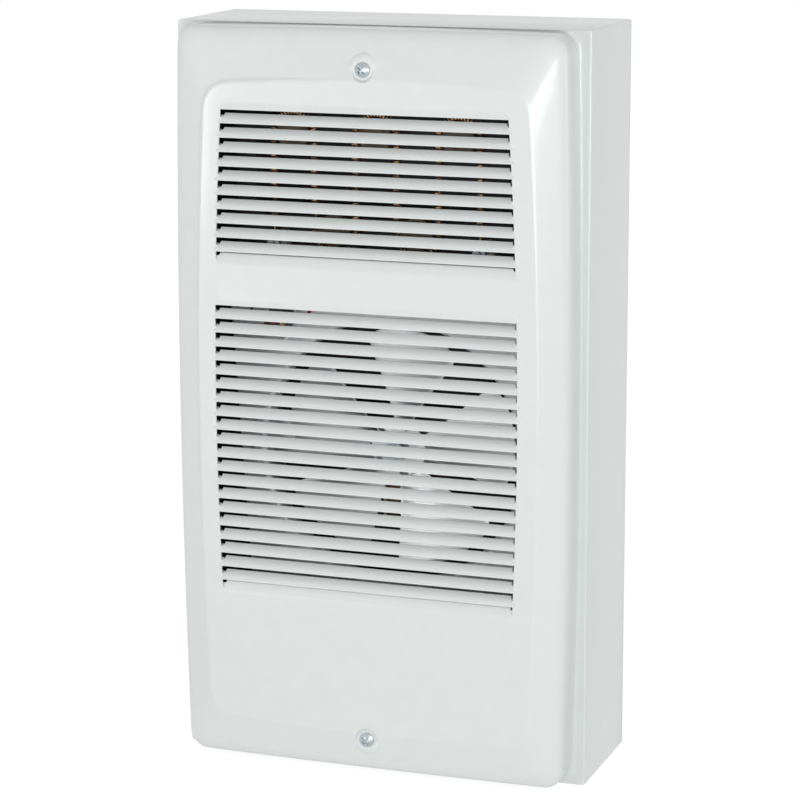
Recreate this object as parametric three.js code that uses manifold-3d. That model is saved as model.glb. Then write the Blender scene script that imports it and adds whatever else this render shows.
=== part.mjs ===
// Wall fan heater for a bathroom: a shallow sheet-metal can that hangs on the wall, a stamped cover with
// two groups of louvres, and inside it a shaded-pole fan motor that draws air in through the lower group
// and pushes it up behind the fan deck, over an open wire element, and out through the upper group.
//
// Millimetres. X is to the right, Z is up and +Y goes into the wall, so the front faces -Y.
// The origin is the centre of the can's back face, on the wall.

import * as THREE from 'three';
import { mergeVertices } from 'three/addons/utils/BufferGeometryUtils.js';
import Module from 'manifold-3d';

const wasm = await Module();
wasm.setup();

// ---------------------------------------------------------------- driving dimensions

// Clearances
const seatGap = 0.3; // between faces that touch
const holeGap = 0.3; // round a screw or a lead in its hole
const runningGap = 0.08; // round the shaft in its bearings
const cutReach = 5; // how far a cut runs past what it cuts

// Surface can
const canWidth = 289;
const canHeight = 507;
const canDepth = 91.7;
const canSheet = 1.2;
const canLipWidth = 14;
const knockoutRadius = 11;
const knockoutSlot = 0.9;
const knockoutBridge = 3;
const knockoutX = 60;
const knockoutY = -45;
const wallHoleRadius = 3.2;
const wallHoleX = 118;
const wallHoleInset = 48; // from the can's top and bottom

// Cover: rim, groove, riser, sloping margin, raised panel
const coverSheet = 1.2;
const rimDepth = 3;
const rimWidth = 2.2;
const grooveDepth = 1.8;
const flangeWidth = 6; // rim and groove together, at the middle of a side
const endFlangeWidth = 2.6; // the same above and below
const domeHeight = 34; // raised panel in front of the rim
const shoulderDrop = 8.4; // raised panel down to the top of the riser
const shoulderInset = 4;
const marginWidth = 18.5; // riser to raised panel, at the sides
const marginHeight = 28.9; // riser to raised panel, above and below
const domeBow = 3.5; // how far the riser bows outwards at the sides
const domeEndBow = 1.5; // and above and below
const panelBow = 7;
const domeCorner = 13;
const panelCorner = 12;
const panelRound = 3;

// Louvres
const louvrePitch = 9.525;
const louvreGap = 2.6;
const louvreLip = 1; // lip in front of the raised panel
const louvreRecess = 4.6; // upper edge behind the raised panel
const louvreSheet = 1;
const louvreBorder = 13.5; // raised panel's edge to the ends of the louvres
const louvreBow = 10.8; // how far the ends of the louvres bow, over the height of the dome
const upperSlots = 11;
const lowerSlots = 21;
const upperFirstSlot = 56.3; // below the can's top
const betweenFields = 35.9; // last upper slot to first lower slot

// Cover screws and their brackets
const coverScrewInset = 26.5; // from the can's top and bottom
const coverScrewRadius = 1.9;
const coverScrewHead = 5;
const coverScrewHeadHeight = 2.4;
const coverSeatRadius = 7.5;
const coverScrewSeatDrop = 1.9; // raised panel back to a cover screw's flat seat
const coverScrewProud = 3; // its shank behind the bracket
const bracketWidth = 34;
const bracketHeight = 30;
const bracketSheet = 1.5;
const bracketCollarWall = 1.6; // of its extruded screw hole
const bracketCollarRise = 1.5;

// Fan deck: a scoop with the fan's round inlet, open at its top and towards the wall
const deckDepth = 76;
const deckSheet = 1.2;
const deckSideGap = 25; // from the can's side to the deck's widest end
const deckTaper = 0.066; // how fast its sides draw in downwards
const wiringSpace = 68; // below the deck, for the supply wires
const inletRoom = 20.4; // inlet to the deck's side, at the height of the fan's axis
const collarDepth = 12;
const fanDrop = 122.5; // fan's axis below the baffle
const deckFoot = 12;
const deckFootHeight = 22;

// Baffle between the cold lower chamber and the hot upper one
const baffleEdge = 2; // beyond the element's frame
const baffleCoverGap = 1.5; // to the back of the raised panel
const baffleFlange = 12;
const baffleSheet = 1.2;

// Small screws
const screwRadius = 1.8;
const screwHead = 3.6;
const screwHeadHeight = 2;

// Fan wheel
const bladeCount = 5;
const bladeTipGap = 7; // to the inlet collar
const bladeRoot = 15;
const bladeSheet = 1;
const bladePitch = 15; // depth along the shaft, at the tip
const bladeTipAngle = 54; // degrees of the turn that a blade covers
const bladeRootAngle = 40;
const fanCentreDepth = 61;
const hubRadius = 7.5;
const hubFlangeRadius = 14;
const hubFlangeSheet = 1.6;
const hubLength = 15;
const bladeRing = 5; // the wheel's plain ring outside the blades' roots
const setScrewInset = 3; // from the hub's front end
const setScrewProud = 2;
const shaftSet = 1.5; // the shaft's end inside the hub's front end
const setScrewRadius = 1.6;

// Motor
const shaftRadius = 3;
const rotorRadius = 13;
const airGap = 0.5;
const stackDepth = 22;
const stackCentreDepth = 27;
const stackHalfWidth = 30;
const stackTop = 24; // above the shaft
const stackBottom = 46; // below the shaft
const windowHalf = 19;
const windowTop = 18; // below the shaft
const legHeight = 10;
const bobbinHalf = 17;
const bobbinWall = 1.5;
const windingBuild = 6.5;
const bearingRadius = 5;
const bearingLength = 6;
const bracketPlate = 2;
const bracketBandHalf = 7.5;
const bossWall = 2.2;
const bracketEnd = 6; // of a bearing bracket beyond its tie screws
const strapBossGap = 2; // round the front boss in the strap
const tieScrewX = 22.5;
const tieScrewRadius = 1.8;
const spacerRadius = 4;
const spacerLength = 5.2;
const strapSheet = 1.5;
const strapHalfHeight = 12;
const strapCollarGap = 3.3; // from the inlet collar to the strap's legs
const strapFoot = 10;

// Element: an open coil that goes up and down between mica formers on a steel frame
const coilDepth = 103;
const coilColumns = 6;
const coilPitch = 29; // column to column
const coilTurnRise = 32; // middle of the upper louvres to the centres of the turns
const curlRadius = 2.2;
const wireRadius = 0.6;
const curlCount = 60;
const curlSteps = 8;
const wireSides = 5;
const formerDepth = 6;
const formerStem = 4;
const frameDepth = 84;
const frameSheet = 1.2;
const frameHalf = 106;
const frameBar = 12;
const frameLegWidth = 20;
const frameFoot = 14;
const studRadius = 1.9;
const studNut = 4.6;
const studNutLength = 8;
const studDrop = 10; // below the centres of the lower turns
const studProud = 3; // of the nut, in front
const studTail = 6; // behind the bushing
const bushingTail = 5; // behind the frame
const formerTail = 1;
const studMargin = 2; // of the frame's lower bar below the studs
const formerWireGap = 0.5; // between the wire and a former
const bushingRadius = 6.5;
const bushingNeck = 3.8;

// Manual-reset limit switch
const limitX = -78;
const limitDrop = 32; // below the baffle
const limitCupRadius = 8;
const limitCupDepth = 8;
const limitBodyRadius = 9.5;
const limitBodyDepth = 12;
const limitEar = 13;
const limitEarHalf = 5;
const limitEarEnd = 4; // beyond an ear's hole
const limitFlangeSheet = 1.2;
const resetRadius = 2.3;
const resetOut = 7;
const resetTravel = 1.5;
const resetSeat = 5;
const tabWidth = 6.3;
const tabSheet = 0.8;
const tabLength = 8;
const tabX = 6.4;
const tabRoot = 4; // inside the body

// Leads and the terminal block
const leadRadius = 1.3;
const leadSides = 6;
const leadHoleRadius = 5;
const leadHoleX = -55;
const leadHoleDrop = 20; // below the baffle
const leadSpread = 1.8; // each lead beside the centre of a shared hole
const leadBendX = 66; // where the long leads swing out from the grommets
const leadBendDepth = 22;
const leadBendRise = 35.5; // above the deck's floor
const leadSideX = 89; // where they rise beside the fan
const leadSideDepth = 14;
const leadSideDrop = 41.5; // below the fan's axis
const leadSideRise = 30; // above it
const leadSway = 3;
const leadStraight = 12; // straight end behind a stud
const grommetX = 40;
const grommetDepth = 30;
const grommetBore = 4.6;
const grommetNeck = 6.6;
const grommetFlange = 8.6;
const blockHalf = 26;
const blockDepth = 20;
const blockHeight = 22;
const blockRise = 22; // above the can's bottom
const poleX = 13;
const poleDepth = 7;
const groundScrewX = 100;
const blockNotch = 3; // between its two poles

// ---------------------------------------------------------------- places worked out from them

const halfWidth = canWidth / 2;
const halfHeight = canHeight / 2;
const rimBack = -(canDepth + seatGap);
const rimFront = rimBack - rimDepth;
const panelFront = rimFront - domeHeight;
const shoulderFront = panelFront + shoulderDrop;
const domeHalfWidth = halfWidth - flangeWidth;
const domeHalfHeight = halfHeight - endFlangeWidth;
const panelHalfWidth = domeHalfWidth - marginWidth;
const panelHalfHeight = domeHalfHeight - marginHeight;
const fieldHalf = panelHalfWidth - louvreBorder;

const upperFirst = halfHeight - upperFirstSlot;
const upperLast = upperFirst - (upperSlots - 1) * louvrePitch;
const lowerFirst = upperLast - betweenFields;
const upperMiddle = (upperFirst + upperLast) / 2;

const baffleZ = (upperLast + lowerFirst) / 2;
const baffleHalf = frameHalf + baffleEdge;
const deckTopHalf = halfWidth - deckSideGap;
const deckFront = -deckDepth;
const deckBottom = -halfHeight + wiringSpace;
const fanZ = baffleZ - fanDrop;

// Half width of the fan deck, outside, at a height
const deckHalfAt = (z) => deckTopHalf - (baffleZ - z) * deckTaper;

const inletRadius = deckHalfAt(fanZ) - inletRoom;
const bladeTip = inletRadius - bladeTipGap;
const strapLegX = inletRadius + deckSheet + strapCollarGap;
const coverScrewZ = halfHeight - coverScrewInset;

const turnRadius = coilPitch / 2;
const coilY = -coilDepth;
const upperTurnZ = upperMiddle + coilTurnRise;
const lowerTurnZ = upperMiddle - coilTurnRise;
const studZ = lowerTurnZ - studDrop;
const frameY = -frameDepth;
const limitZ = baffleZ - limitDrop;
const leadHoleZ = baffleZ - leadHoleDrop;
const blockBottom = -halfHeight + blockRise;
const blockTop = blockBottom + blockHeight;

// Half width of a louvre field at a height
const fieldHalfAt = (z) => fieldHalf - louvreBow * (z / domeHalfHeight) ** 2;

// ---------------------------------------------------------------- materials

function finish(color, roughness, metalness = 0) {
  return new THREE.MeshStandardMaterial({ color, roughness, metalness });
}

const whitePaint = finish(0xe3e8e7, 0.35);
const galvanised = finish(0xb9bdbf, 0.45, 0.7);
const blackSteel = finish(0x2a2a2b, 0.6, 0.4);
const zinc = finish(0xc2c6c8, 0.3, 0.9);
const aluminium = finish(0xd8dadb, 0.3, 0.9);
const brass = finish(0xc09a4a, 0.35, 0.9);
const bronze = finish(0x9c7443, 0.5, 0.8);
const nichrome = finish(0xa9773f, 0.4, 0.8);
const copper = finish(0xb0623a, 0.4, 0.7);
const lamination = finish(0x5e6063, 0.5, 0.6);
const mica = finish(0x4a3c2e, 0.7);
const ceramic = finish(0xe6e0d2, 0.6);
const phenolic = finish(0x1e1d1c, 0.5);
const redPlastic = finish(0xb3261c, 0.4);
const nylon = finish(0xd9d4c4, 0.5);
const rubber = finish(0x222222, 0.85);
const redLead = finish(0xa82420, 0.5);
const blackLead = finish(0x202020, 0.5);

// ---------------------------------------------------------------- solids

// A closed geometry as a solid that can be joined and cut
function solid(geometry) {
  const bare = geometry.clone();
  bare.deleteAttribute('normal');
  bare.deleteAttribute('uv');
  const merged = mergeVertices(bare, 1e-5);
  return new wasm.Manifold(new wasm.Mesh({
    numProp: 3,
    vertProperties: new Float32Array(merged.attributes.position.array),
    triVerts: new Uint32Array(merged.index.array),
  }));
}

// A solid back as a flat-shaded geometry
function geometryOf(shape) {
  const mesh = shape.getMesh();
  const geometry = new THREE.BufferGeometry();
  geometry.setAttribute('position', new THREE.BufferAttribute(mesh.vertProperties, 3));
  geometry.setIndex(new THREE.BufferAttribute(mesh.triVerts, 1));
  const flat = geometry.toNonIndexed();
  flat.computeVertexNormals();
  return flat;
}

function boxBetween(x0, x1, y0, y1, z0, z1) {
  const box = new THREE.BoxGeometry(Math.abs(x1 - x0), Math.abs(y1 - y0), Math.abs(z1 - z0));
  box.translate((x0 + x1) / 2, (y0 + y1) / 2, (z0 + z1) / 2);
  return solid(box);
}

// A shape drawn in X and Z, from yFront back to yBack
function plateXZ(shape, yFront, yBack) {
  const slab = new THREE.ExtrudeGeometry(shape, { depth: yBack - yFront, bevelEnabled: false });
  slab.rotateX(Math.PI / 2);
  slab.translate(0, yBack, 0);
  return solid(slab);
}

function polygon(points) {
  return new THREE.Shape(points.map(([x, z]) => new THREE.Vector2(x, z)));
}

// A cylinder along Y; sides is its facet count
function rodY(x, z, yFront, yBack, radius, sides = 16) {
  const rod = new THREE.CylinderGeometry(radius, radius, yBack - yFront, sides);
  rod.translate(x, (yFront + yBack) / 2, z);
  return solid(rod);
}

function rodZ(x, y, z0, z1, radius, sides = 16) {
  const rod = new THREE.CylinderGeometry(radius, radius, z1 - z0, sides);
  rod.rotateX(Math.PI / 2);
  rod.translate(x, y, (z0 + z1) / 2);
  return solid(rod);
}

// A turned piece: radius and depth pairs, spun round an axis along Y at x, z
function turnedY(profile, x, z, sides = 16) {
  const points = profile.map(([radius, y]) => new THREE.Vector2(radius, y));
  points.push(points[0].clone());
  const lathe = new THREE.LatheGeometry(points, sides);
  lathe.translate(x, 0, z);
  const piece = solid(lathe);
  return piece;
}

// Radius of a polygon that a round pin of this radius just fits inside
const roundHole = (radius, sides) => radius / Math.cos(Math.PI / sides);

const heater = new THREE.Group();
heater.name = 'bathroom_wall_fan_heater';

function add(name, shape, material) {
  const geometry = shape.isBufferGeometry ? shape : geometryOf(shape);
  const mesh = new THREE.Mesh(geometry, material);
  mesh.name = name;
  heater.add(mesh);
}

// ---------------------------------------------------------------- surface can

function knockout(along, x, across) {
  const outer = knockoutRadius + knockoutSlot / 2;
  const inner = knockoutRadius - knockoutSlot / 2;
  const reach = canSheet * 3;
  const ring = along === 'Z'
    ? rodZ(x, across, -halfHeight - reach, -halfHeight + reach, outer, 14).subtract(
      rodZ(x, across, -halfHeight - reach * 2, -halfHeight + reach * 2, inner, 14))
    : rodY(x, across, -reach, reach, outer, 14).subtract(rodY(x, across, -reach * 2, reach * 2, inner, 14));
  const bridge = along === 'Z'
    ? boxBetween(x - outer * 2, x + outer * 2, across - knockoutBridge / 2, across + knockoutBridge / 2,
      -halfHeight - reach * 3, -halfHeight + reach * 3)
    : boxBetween(x - outer * 2, x + outer * 2, -reach * 3, reach * 3,
      across - knockoutBridge / 2, across + knockoutBridge / 2);
  return ring.subtract(bridge);
}

function deckFootPlaces() {
  const places = [];
  for (const side of [-1, 1]) {
    for (const z of [deckBottom + deckFootHeight, baffleZ - deckFootHeight]) {
      places.push({ side, z, x: side * (deckHalfAt(z) + deckFoot / 2) });
    }
  }
  return places;
}

function surfaceCan() {
  let can = boxBetween(-halfWidth, halfWidth, -canDepth, 0, -halfHeight, halfHeight);
  can = can.subtract(boxBetween(
    -halfWidth + canSheet, halfWidth - canSheet, -canDepth + canSheet, -canSheet,
    -halfHeight + canSheet, halfHeight - canSheet));
  can = can.subtract(boxBetween(
    -halfWidth + canLipWidth, halfWidth - canLipWidth, -canDepth - 1, -canDepth + canSheet * 2,
    -halfHeight + canLipWidth, halfHeight - canLipWidth));
  for (const side of [-1, 1]) {
    can = can.subtract(knockout('Z', side * knockoutX, knockoutY));
    can = can.subtract(knockout('Y', side * knockoutX, blockBottom + knockoutRadius));
    for (const end of [-1, 1]) {
      const z = end * (halfHeight - wallHoleInset);
      can = can.subtract(rodY(side * wallHoleX, z, -canSheet * 3, canSheet * 3, wallHoleRadius, 10));
    }
  }
  for (const { x, z } of deckFootPlaces()) {
    can = can.subtract(rodY(x, z, -canSheet * 3, canSheet * 3, screwRadius + holeGap, 8));
  }
  const groundZ = blockBottom;
  can = can.subtract(rodY(groundScrewX, groundZ, -canSheet * 3, canSheet * 3,
    screwRadius + holeGap, 8));
  return can;
}

// ---------------------------------------------------------------- front cover

const sideSteps = 4;
const cornerSteps = 5;

// One closed ring of points in X and Z: a rectangle with bowed sides and ends and round corners
function bowedRing(halfX, halfZ, sideBow, endBow, corner, y) {
  const ring = [];
  const sideX = (z) => halfX - sideBow * (z / halfZ) ** 2;
  const sideZ = (x) => halfZ - endBow * (x / halfX) ** 2;
  const cornerX = sideX(halfZ - corner) - corner;
  const cornerZ = sideZ(halfX - corner) - corner;
  const quarter = [];
  for (let i = 0; i <= sideSteps / 2; i += 1) {
    const z = cornerZ * (i / (sideSteps / 2));
    quarter.push([sideX(z), z]);
  }
  for (let i = 1; i < cornerSteps; i += 1) {
    const angle = (Math.PI / 2) * (i / cornerSteps);
    quarter.push([cornerX + corner * Math.cos(angle), cornerZ + corner * Math.sin(angle)]);
  }
  for (let i = sideSteps / 2; i >= 0; i -= 1) {
    const x = cornerX * (i / (sideSteps / 2));
    quarter.push([x, sideZ(x)]);
  }
  const signs = [[1, 1], [-1, 1], [-1, -1], [1, -1]];
  signs.forEach(([signX, signZ], turn) => {
    const points = turn % 2 ? [...quarter].reverse() : quarter;
    points.slice(0, -1).forEach(([x, z]) => ring.push(new THREE.Vector3(signX * x, y, signZ * z)));
  });
  return ring;
}

// A closed solid skinned over rings, with a flat cap on the first and on the last
function skin(rings) {
  const count = rings[0].length;
  const positions = [];
  rings.flat().forEach((point) => positions.push(point.x, point.y, point.z));
  const first = positions.length / 3;
  positions.push(0, rings[0][0].y, 0);
  positions.push(0, rings.at(-1)[0].y, 0);
  const triangles = [];
  for (let i = 0; i < count; i += 1) {
    const next = (i + 1) % count;
    for (let ring = 0; ring + 1 < rings.length; ring += 1) {
      const a = ring * count + i;
      const b = ring * count + next;
      triangles.push(a, a + count, b, b, a + count, b + count);
    }
    const last = (rings.length - 1) * count;
    triangles.push(first, i, next);
    triangles.push(first + 1, last + next, last + i);
  }
  const geometry = new THREE.BufferGeometry();
  geometry.setAttribute('position', new THREE.Float32BufferAttribute(positions, 3));
  geometry.setIndex(triangles);
  return solid(geometry);
}

function coverShell() {
  const dome = (inset, y) => bowedRing(
    domeHalfWidth - inset, domeHalfHeight - inset, domeBow, domeEndBow, domeCorner - inset / 2, y);
  const panel = (inset, y) => bowedRing(
    panelHalfWidth - inset, panelHalfHeight - inset, panelBow, panelBow, panelCorner, y);
  const rim = (inset, y) => bowedRing(halfWidth - inset, halfHeight - inset, 0, 0, 2, y);
  const groove = rimFront + grooveDepth;
  return skin([
    panel(panelRound, panelFront),
    panel(0, panelFront + coverSheet / 2),
    dome(shoulderInset, shoulderFront),
    dome(shoulderInset * 0.3, shoulderFront + shoulderInset * 0.4),
    dome(0, shoulderFront + shoulderInset),
    dome(0, groove),
    rim(rimWidth, rimFront + 0.1),
    rim(rimWidth * 0.3, rimFront),
    rim(0, rimFront + 0.6),
    rim(0, rimBack),
    dome(coverSheet, rimBack),
    dome(coverSheet, shoulderFront + shoulderInset),
    dome(shoulderInset + coverSheet / 2, shoulderFront + coverSheet),
    panel(coverSheet / 2, panelFront + coverSheet * 1.5),
    panel(panelRound, panelFront + coverSheet),
  ]);
}

// The window of a louvre field, from above its first slot to below its last
function fieldWindow(first, last) {
  const top = first + louvreGap / 2;
  const bottom = last - louvreGap / 2;
  const steps = 6;
  const right = [];
  for (let i = 0; i <= steps; i += 1) {
    const z = bottom + (top - bottom) * (i / steps);
    right.push([fieldHalfAt(z), z]);
  }
  const left = right.map(([x, z]) => [-x, z]).reverse();
  return plateXZ(polygon([...right, ...left]), panelFront - cutReach, panelFront + cutReach);
}

// A bar along X with a profile of depth and height pairs
function barX(profile, halfLength) {
  const bar = new THREE.ExtrudeGeometry(polygon(profile), { depth: halfLength * 2, bevelEnabled: false });
  bar.applyMatrix4(new THREE.Matrix4().makeBasis(
    new THREE.Vector3(0, 1, 0), new THREE.Vector3(0, 0, 1), new THREE.Vector3(1, 0, 0)));
  bar.translate(-halfLength, 0, 0);
  return solid(bar);
}

// One louvre below a slot: its upper edge is set back and its lower edge is a round lip in front
function louvre(slotZ) {
  const top = slotZ - louvreGap / 2;
  const bottom = slotZ - louvrePitch + louvreGap / 2;
  const lipFront = panelFront - louvreLip;
  const back = panelFront + louvreRecess;
  const profile = [
    [back, top],
    [back - louvreSheet, top],
    [lipFront + 0.3, bottom + 1.4],
    [lipFront, bottom + 0.7],
    [lipFront + 0.3, bottom + 0.1],
    [lipFront + louvreSheet, bottom],
    [lipFront + louvreSheet + 0.5, bottom + 0.6],
  ];
  return barX(profile, fieldHalfAt(slotZ - louvrePitch / 2) + louvreSheet);
}

// The lip that the raised panel itself forms above the first slot
function fieldLip(slotZ) {
  const edge = slotZ + louvreGap / 2;
  const lipFront = panelFront - louvreLip;
  const profile = [
    [panelFront + coverSheet / 2, edge + 5],
    [panelFront, edge + 5],
    [lipFront + 0.2, edge + 0.8],
    [lipFront + 0.4, edge - 0.2],
    [panelFront + coverSheet / 2, edge - 0.2],
  ];
  return barX(profile, fieldHalfAt(slotZ) - 1);
}

function frontCover() {
  let cover = coverShell();
  for (const side of [-1, 1]) {
    const z = side * coverScrewZ;
    const seat = panelFront + coverScrewSeatDrop;
    cover = cover.add(rodY(0, z, seat, seat + coverSheet * 2.2, coverSeatRadius, 20));
    cover = cover.subtract(rodY(0, z, panelFront - cutReach, seat, coverSeatRadius, 20));
    cover = cover.subtract(rodY(0, z, panelFront - cutReach, seat + cutReach,
      coverScrewRadius + holeGap * 2, 16));
  }
  for (const [first, slots] of [[upperFirst, upperSlots], [lowerFirst, lowerSlots]]) {
    const last = first - (slots - 1) * louvrePitch;
    cover = cover.subtract(fieldWindow(first, last));
    for (let i = 0; i < slots - 1; i += 1) {
      cover = cover.add(louvre(first - i * louvrePitch));
    }
    cover = cover.add(fieldLip(first));
  }
  return cover;
}

// A pan head with a cross recess and a plain shank, along Y with its head in front
function panScrew(x, z, seatY, tipY, radius, head, headHeight, recess) {
  const under = seatY - seatGap;
  let screw = turnedY([
    [0, under - headHeight],
    [head * 0.6, under - headHeight],
    [head, under - headHeight * 0.45],
    [head, under],
    [radius, under],
    [radius, tipY],
    [0, tipY],
  ], x, z, recess ? 12 : 8);
  if (recess) {
    const wide = head * 0.56;
    const thin = head * 0.13;
    const front = under - headHeight - 1;
    const deep = under - headHeight * 0.35;
    screw = screw.subtract(boxBetween(x - wide, x + wide, front, deep, z - thin, z + thin));
    screw = screw.subtract(boxBetween(x - thin, x + thin, front, deep, z - wide, z + wide));
  }
  return screw;
}

const bracketFront = -canDepth + canSheet + seatGap;
const coverScrewTip = bracketFront + bracketSheet + coverScrewProud;

function coverBracket(side) {
  const outer = halfHeight - canSheet - seatGap;
  const plate = boxBetween(
    -bracketWidth / 2, bracketWidth / 2, bracketFront, bracketFront + bracketSheet,
    side * outer, side * (outer - bracketHeight));
  const z = side * coverScrewZ;
  const collarBack = bracketFront + bracketSheet + bracketCollarRise;
  const collar = rodY(0, z, bracketFront + bracketSheet / 2, collarBack,
    coverScrewRadius + bracketCollarWall, 14);
  return plate.add(collar).subtract(
    rodY(0, z, bracketFront - cutReach, collarBack + cutReach, coverScrewRadius + holeGap, 14));
}

// ---------------------------------------------------------------- fan deck and baffle

function deckOutline(inset, topZ) {
  const bottom = deckBottom + inset;
  return polygon([
    [-deckHalfAt(bottom) + inset, bottom],
    [deckHalfAt(bottom) - inset, bottom],
    [deckHalfAt(topZ) - inset, topZ],
    [-deckHalfAt(topZ) + inset, topZ],
  ]);
}

function fanDeck() {
  const back = -canSheet - seatGap;
  const face = deckFront + deckSheet;
  const through = [deckFront - cutReach, face + cutReach];
  let deck = plateXZ(deckOutline(0, baffleZ), deckFront, back);
  deck = deck.subtract(plateXZ(deckOutline(deckSheet, baffleZ + cutReach), face, back + cutReach));
  deck = deck.add(rodY(0, fanZ, deckFront, deckFront + collarDepth, inletRadius + deckSheet, 32));
  deck = deck.subtract(rodY(0, fanZ, deckFront - cutReach, deckFront + collarDepth + cutReach, inletRadius,
    32));
  for (const { side, x, z } of deckFootPlaces()) {
    const inner = side * (deckHalfAt(z - deckFootHeight / 2) - deckSheet - 0.4);
    const outer = x + (side * deckFoot) / 2;
    const low = z - deckFootHeight / 2;
    deck = deck.add(boxBetween(inner, outer, back - deckSheet, back, low, low + deckFootHeight));
    deck = deck.subtract(rodY(x, z, back - cutReach, back + cutReach, screwRadius + holeGap, 8));
  }
  for (const side of [-1, 1]) {
    deck = deck.subtract(rodY(side * strapScrewX, fanZ, ...through, screwRadius + holeGap, 8));
    deck = deck.subtract(rodY(limitX, limitZ + side * limitEar, ...through, screwRadius * 0.7 + holeGap, 8));
    deck = deck.subtract(rodZ(side * grommetX, -grommetDepth, deckBottom - cutReach,
      deckBottom + deckSheet + cutReach, grommetNeck + holeGap, 16));
  }
  deck = deck.subtract(rodY(limitX, limitZ, ...through, limitCupRadius + holeGap, 16));
  deck = deck.subtract(rodY(leadHoleX, leadHoleZ, ...through, leadHoleRadius, 16));
  return deck;
}

function dividerBaffle() {
  const flangeBack = deckFront - seatGap;
  const flangeFront = flangeBack - baffleSheet;
  const edge = panelFront + coverSheet + baffleCoverGap;
  let baffle = boxBetween(-baffleHalf, baffleHalf, edge, flangeBack, baffleZ, baffleZ + baffleSheet);
  baffle = baffle.add(boxBetween(
    -baffleHalf, baffleHalf, flangeFront, flangeBack, baffleZ - baffleFlange, baffleZ + baffleSheet / 2));
  for (const side of [-1, 1]) {
    baffle = baffle.subtract(rodZ(side * frameScrewX, frameScrewY, baffleZ - cutReach, baffleZ + cutReach,
      screwRadius + holeGap, 8));
  }
  return baffle;
}

// ---------------------------------------------------------------- fan and motor

// One blade: a thin curved sheet between two radii, twisted along its chord
function fanBlade(turn) {
  const radialSteps = 3;
  const chordSteps = 4;
  const surface = (r, c, lift) => {
    const radius = bladeRoot + (bladeTip - bladeRoot) * (r / radialSteps);
    const share = r / radialSteps;
    const sweep = THREE.MathUtils.degToRad(bladeRootAngle + (bladeTipAngle - bladeRootAngle) * share);
    const u = c / chordSteps - 0.5;
    const angle = turn + sweep * u;
    const depth = bladePitch * (0.55 + 0.45 * share) * (u + 0.9 * (0.25 - u * u) - 0.11);
    return new THREE.Vector3(radius * Math.cos(angle), -fanCentreDepth + depth + lift,
      fanZ + radius * Math.sin(angle));
  };
  const positions = [];
  const index = (r, c, side) => (r * (chordSteps + 1) + c) * 2 + side;
  for (let r = 0; r <= radialSteps; r += 1) {
    for (let c = 0; c <= chordSteps; c += 1) {
      const front = surface(r, c, -bladeSheet / 2);
      const back = surface(r, c, bladeSheet / 2);
      positions.push(front.x, front.y, front.z, back.x, back.y, back.z);
    }
  }
  const triangles = [];
  const face = (a, b, c, d) => triangles.push(a, b, c, a, c, d);
  for (let r = 0; r < radialSteps; r += 1) {
    for (let c = 0; c < chordSteps; c += 1) {
      face(index(r, c, 0), index(r + 1, c, 0), index(r + 1, c + 1, 0), index(r, c + 1, 0));
      face(index(r, c, 1), index(r, c + 1, 1), index(r + 1, c + 1, 1), index(r + 1, c, 1));
    }
    face(index(r, 0, 0), index(r, 0, 1), index(r + 1, 0, 1), index(r + 1, 0, 0));
    face(index(r, chordSteps, 0), index(r + 1, chordSteps, 0), index(r + 1, chordSteps, 1),
      index(r, chordSteps, 1));
  }
  for (let c = 0; c < chordSteps; c += 1) {
    face(index(0, c, 0), index(0, c + 1, 0), index(0, c + 1, 1), index(0, c, 1));
    face(index(radialSteps, c, 0), index(radialSteps, c, 1), index(radialSteps, c + 1, 1),
      index(radialSteps, c + 1, 0));
  }
  const geometry = new THREE.BufferGeometry();
  geometry.setAttribute('position', new THREE.Float32BufferAttribute(positions, 3));
  geometry.setIndex(triangles);
  return solid(geometry);
}

const spiderY = -fanCentreDepth;

function fanBlades() {
  let wheel = rodY(0, fanZ, spiderY - bladeSheet, spiderY + bladeSheet, bladeRoot + bladeRing, 30);
  for (let i = 0; i < bladeCount; i += 1) {
    wheel = wheel.add(fanBlade(THREE.MathUtils.degToRad(10) + (i * Math.PI * 2) / bladeCount));
  }
  return wheel.subtract(rodY(0, fanZ, spiderY - cutReach, spiderY + cutReach, hubRadius + holeGap, 20));
}

const hubFlangeFront = spiderY + bladeSheet + seatGap;
const hubBack = hubFlangeFront + hubFlangeSheet;
const hubFront = hubBack - hubLength;
const setScrewY = hubFront + setScrewInset;

function fanHub() {
  const hub = rodY(0, fanZ, hubFront, hubBack, hubRadius, 20)
    .add(rodY(0, fanZ, hubFlangeFront, hubBack, hubFlangeRadius, 20));
  return hub.subtract(rodY(0, fanZ, hubFront - cutReach, hubBack + cutReach,
    roundHole(shaftRadius + runningGap, 20), 20))
    .subtract(rodZ(0, setScrewY, fanZ, fanZ + hubRadius + cutReach, setScrewRadius + holeGap, 8));
}

function hubSetScrew() {
  return rodZ(0, setScrewY, fanZ + shaftRadius + seatGap, fanZ + hubRadius + setScrewProud,
    setScrewRadius, 10);
}

const stackFront = -stackCentreDepth - stackDepth / 2;
const stackBack = -stackCentreDepth + stackDepth / 2;
const shaftBack = stackBack + seatGap + bracketPlate + bearingLength;
const shaftFront = hubFront + shaftSet;

function motorShaft() {
  return rodY(0, fanZ, shaftFront, shaftBack - 1, shaftRadius, 20);
}

function motorRotor() {
  return rodY(0, fanZ, stackFront + 1, stackBack - 1, rotorRadius, 24)
    .subtract(rodY(0, fanZ, stackFront - cutReach, stackBack + cutReach,
      roundHole(shaftRadius + runningGap, 20), 20));
}

// Flat outline of one motor lamination, without its holes
function stackOutline() {
  const chamfer = 5;
  return polygon([
    [-stackHalfWidth, fanZ - stackBottom],
    [stackHalfWidth, fanZ - stackBottom],
    [stackHalfWidth, fanZ + stackTop - chamfer],
    [stackHalfWidth - chamfer, fanZ + stackTop],
    [-stackHalfWidth + chamfer, fanZ + stackTop],
    [-stackHalfWidth, fanZ + stackTop - chamfer],
  ]);
}

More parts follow.
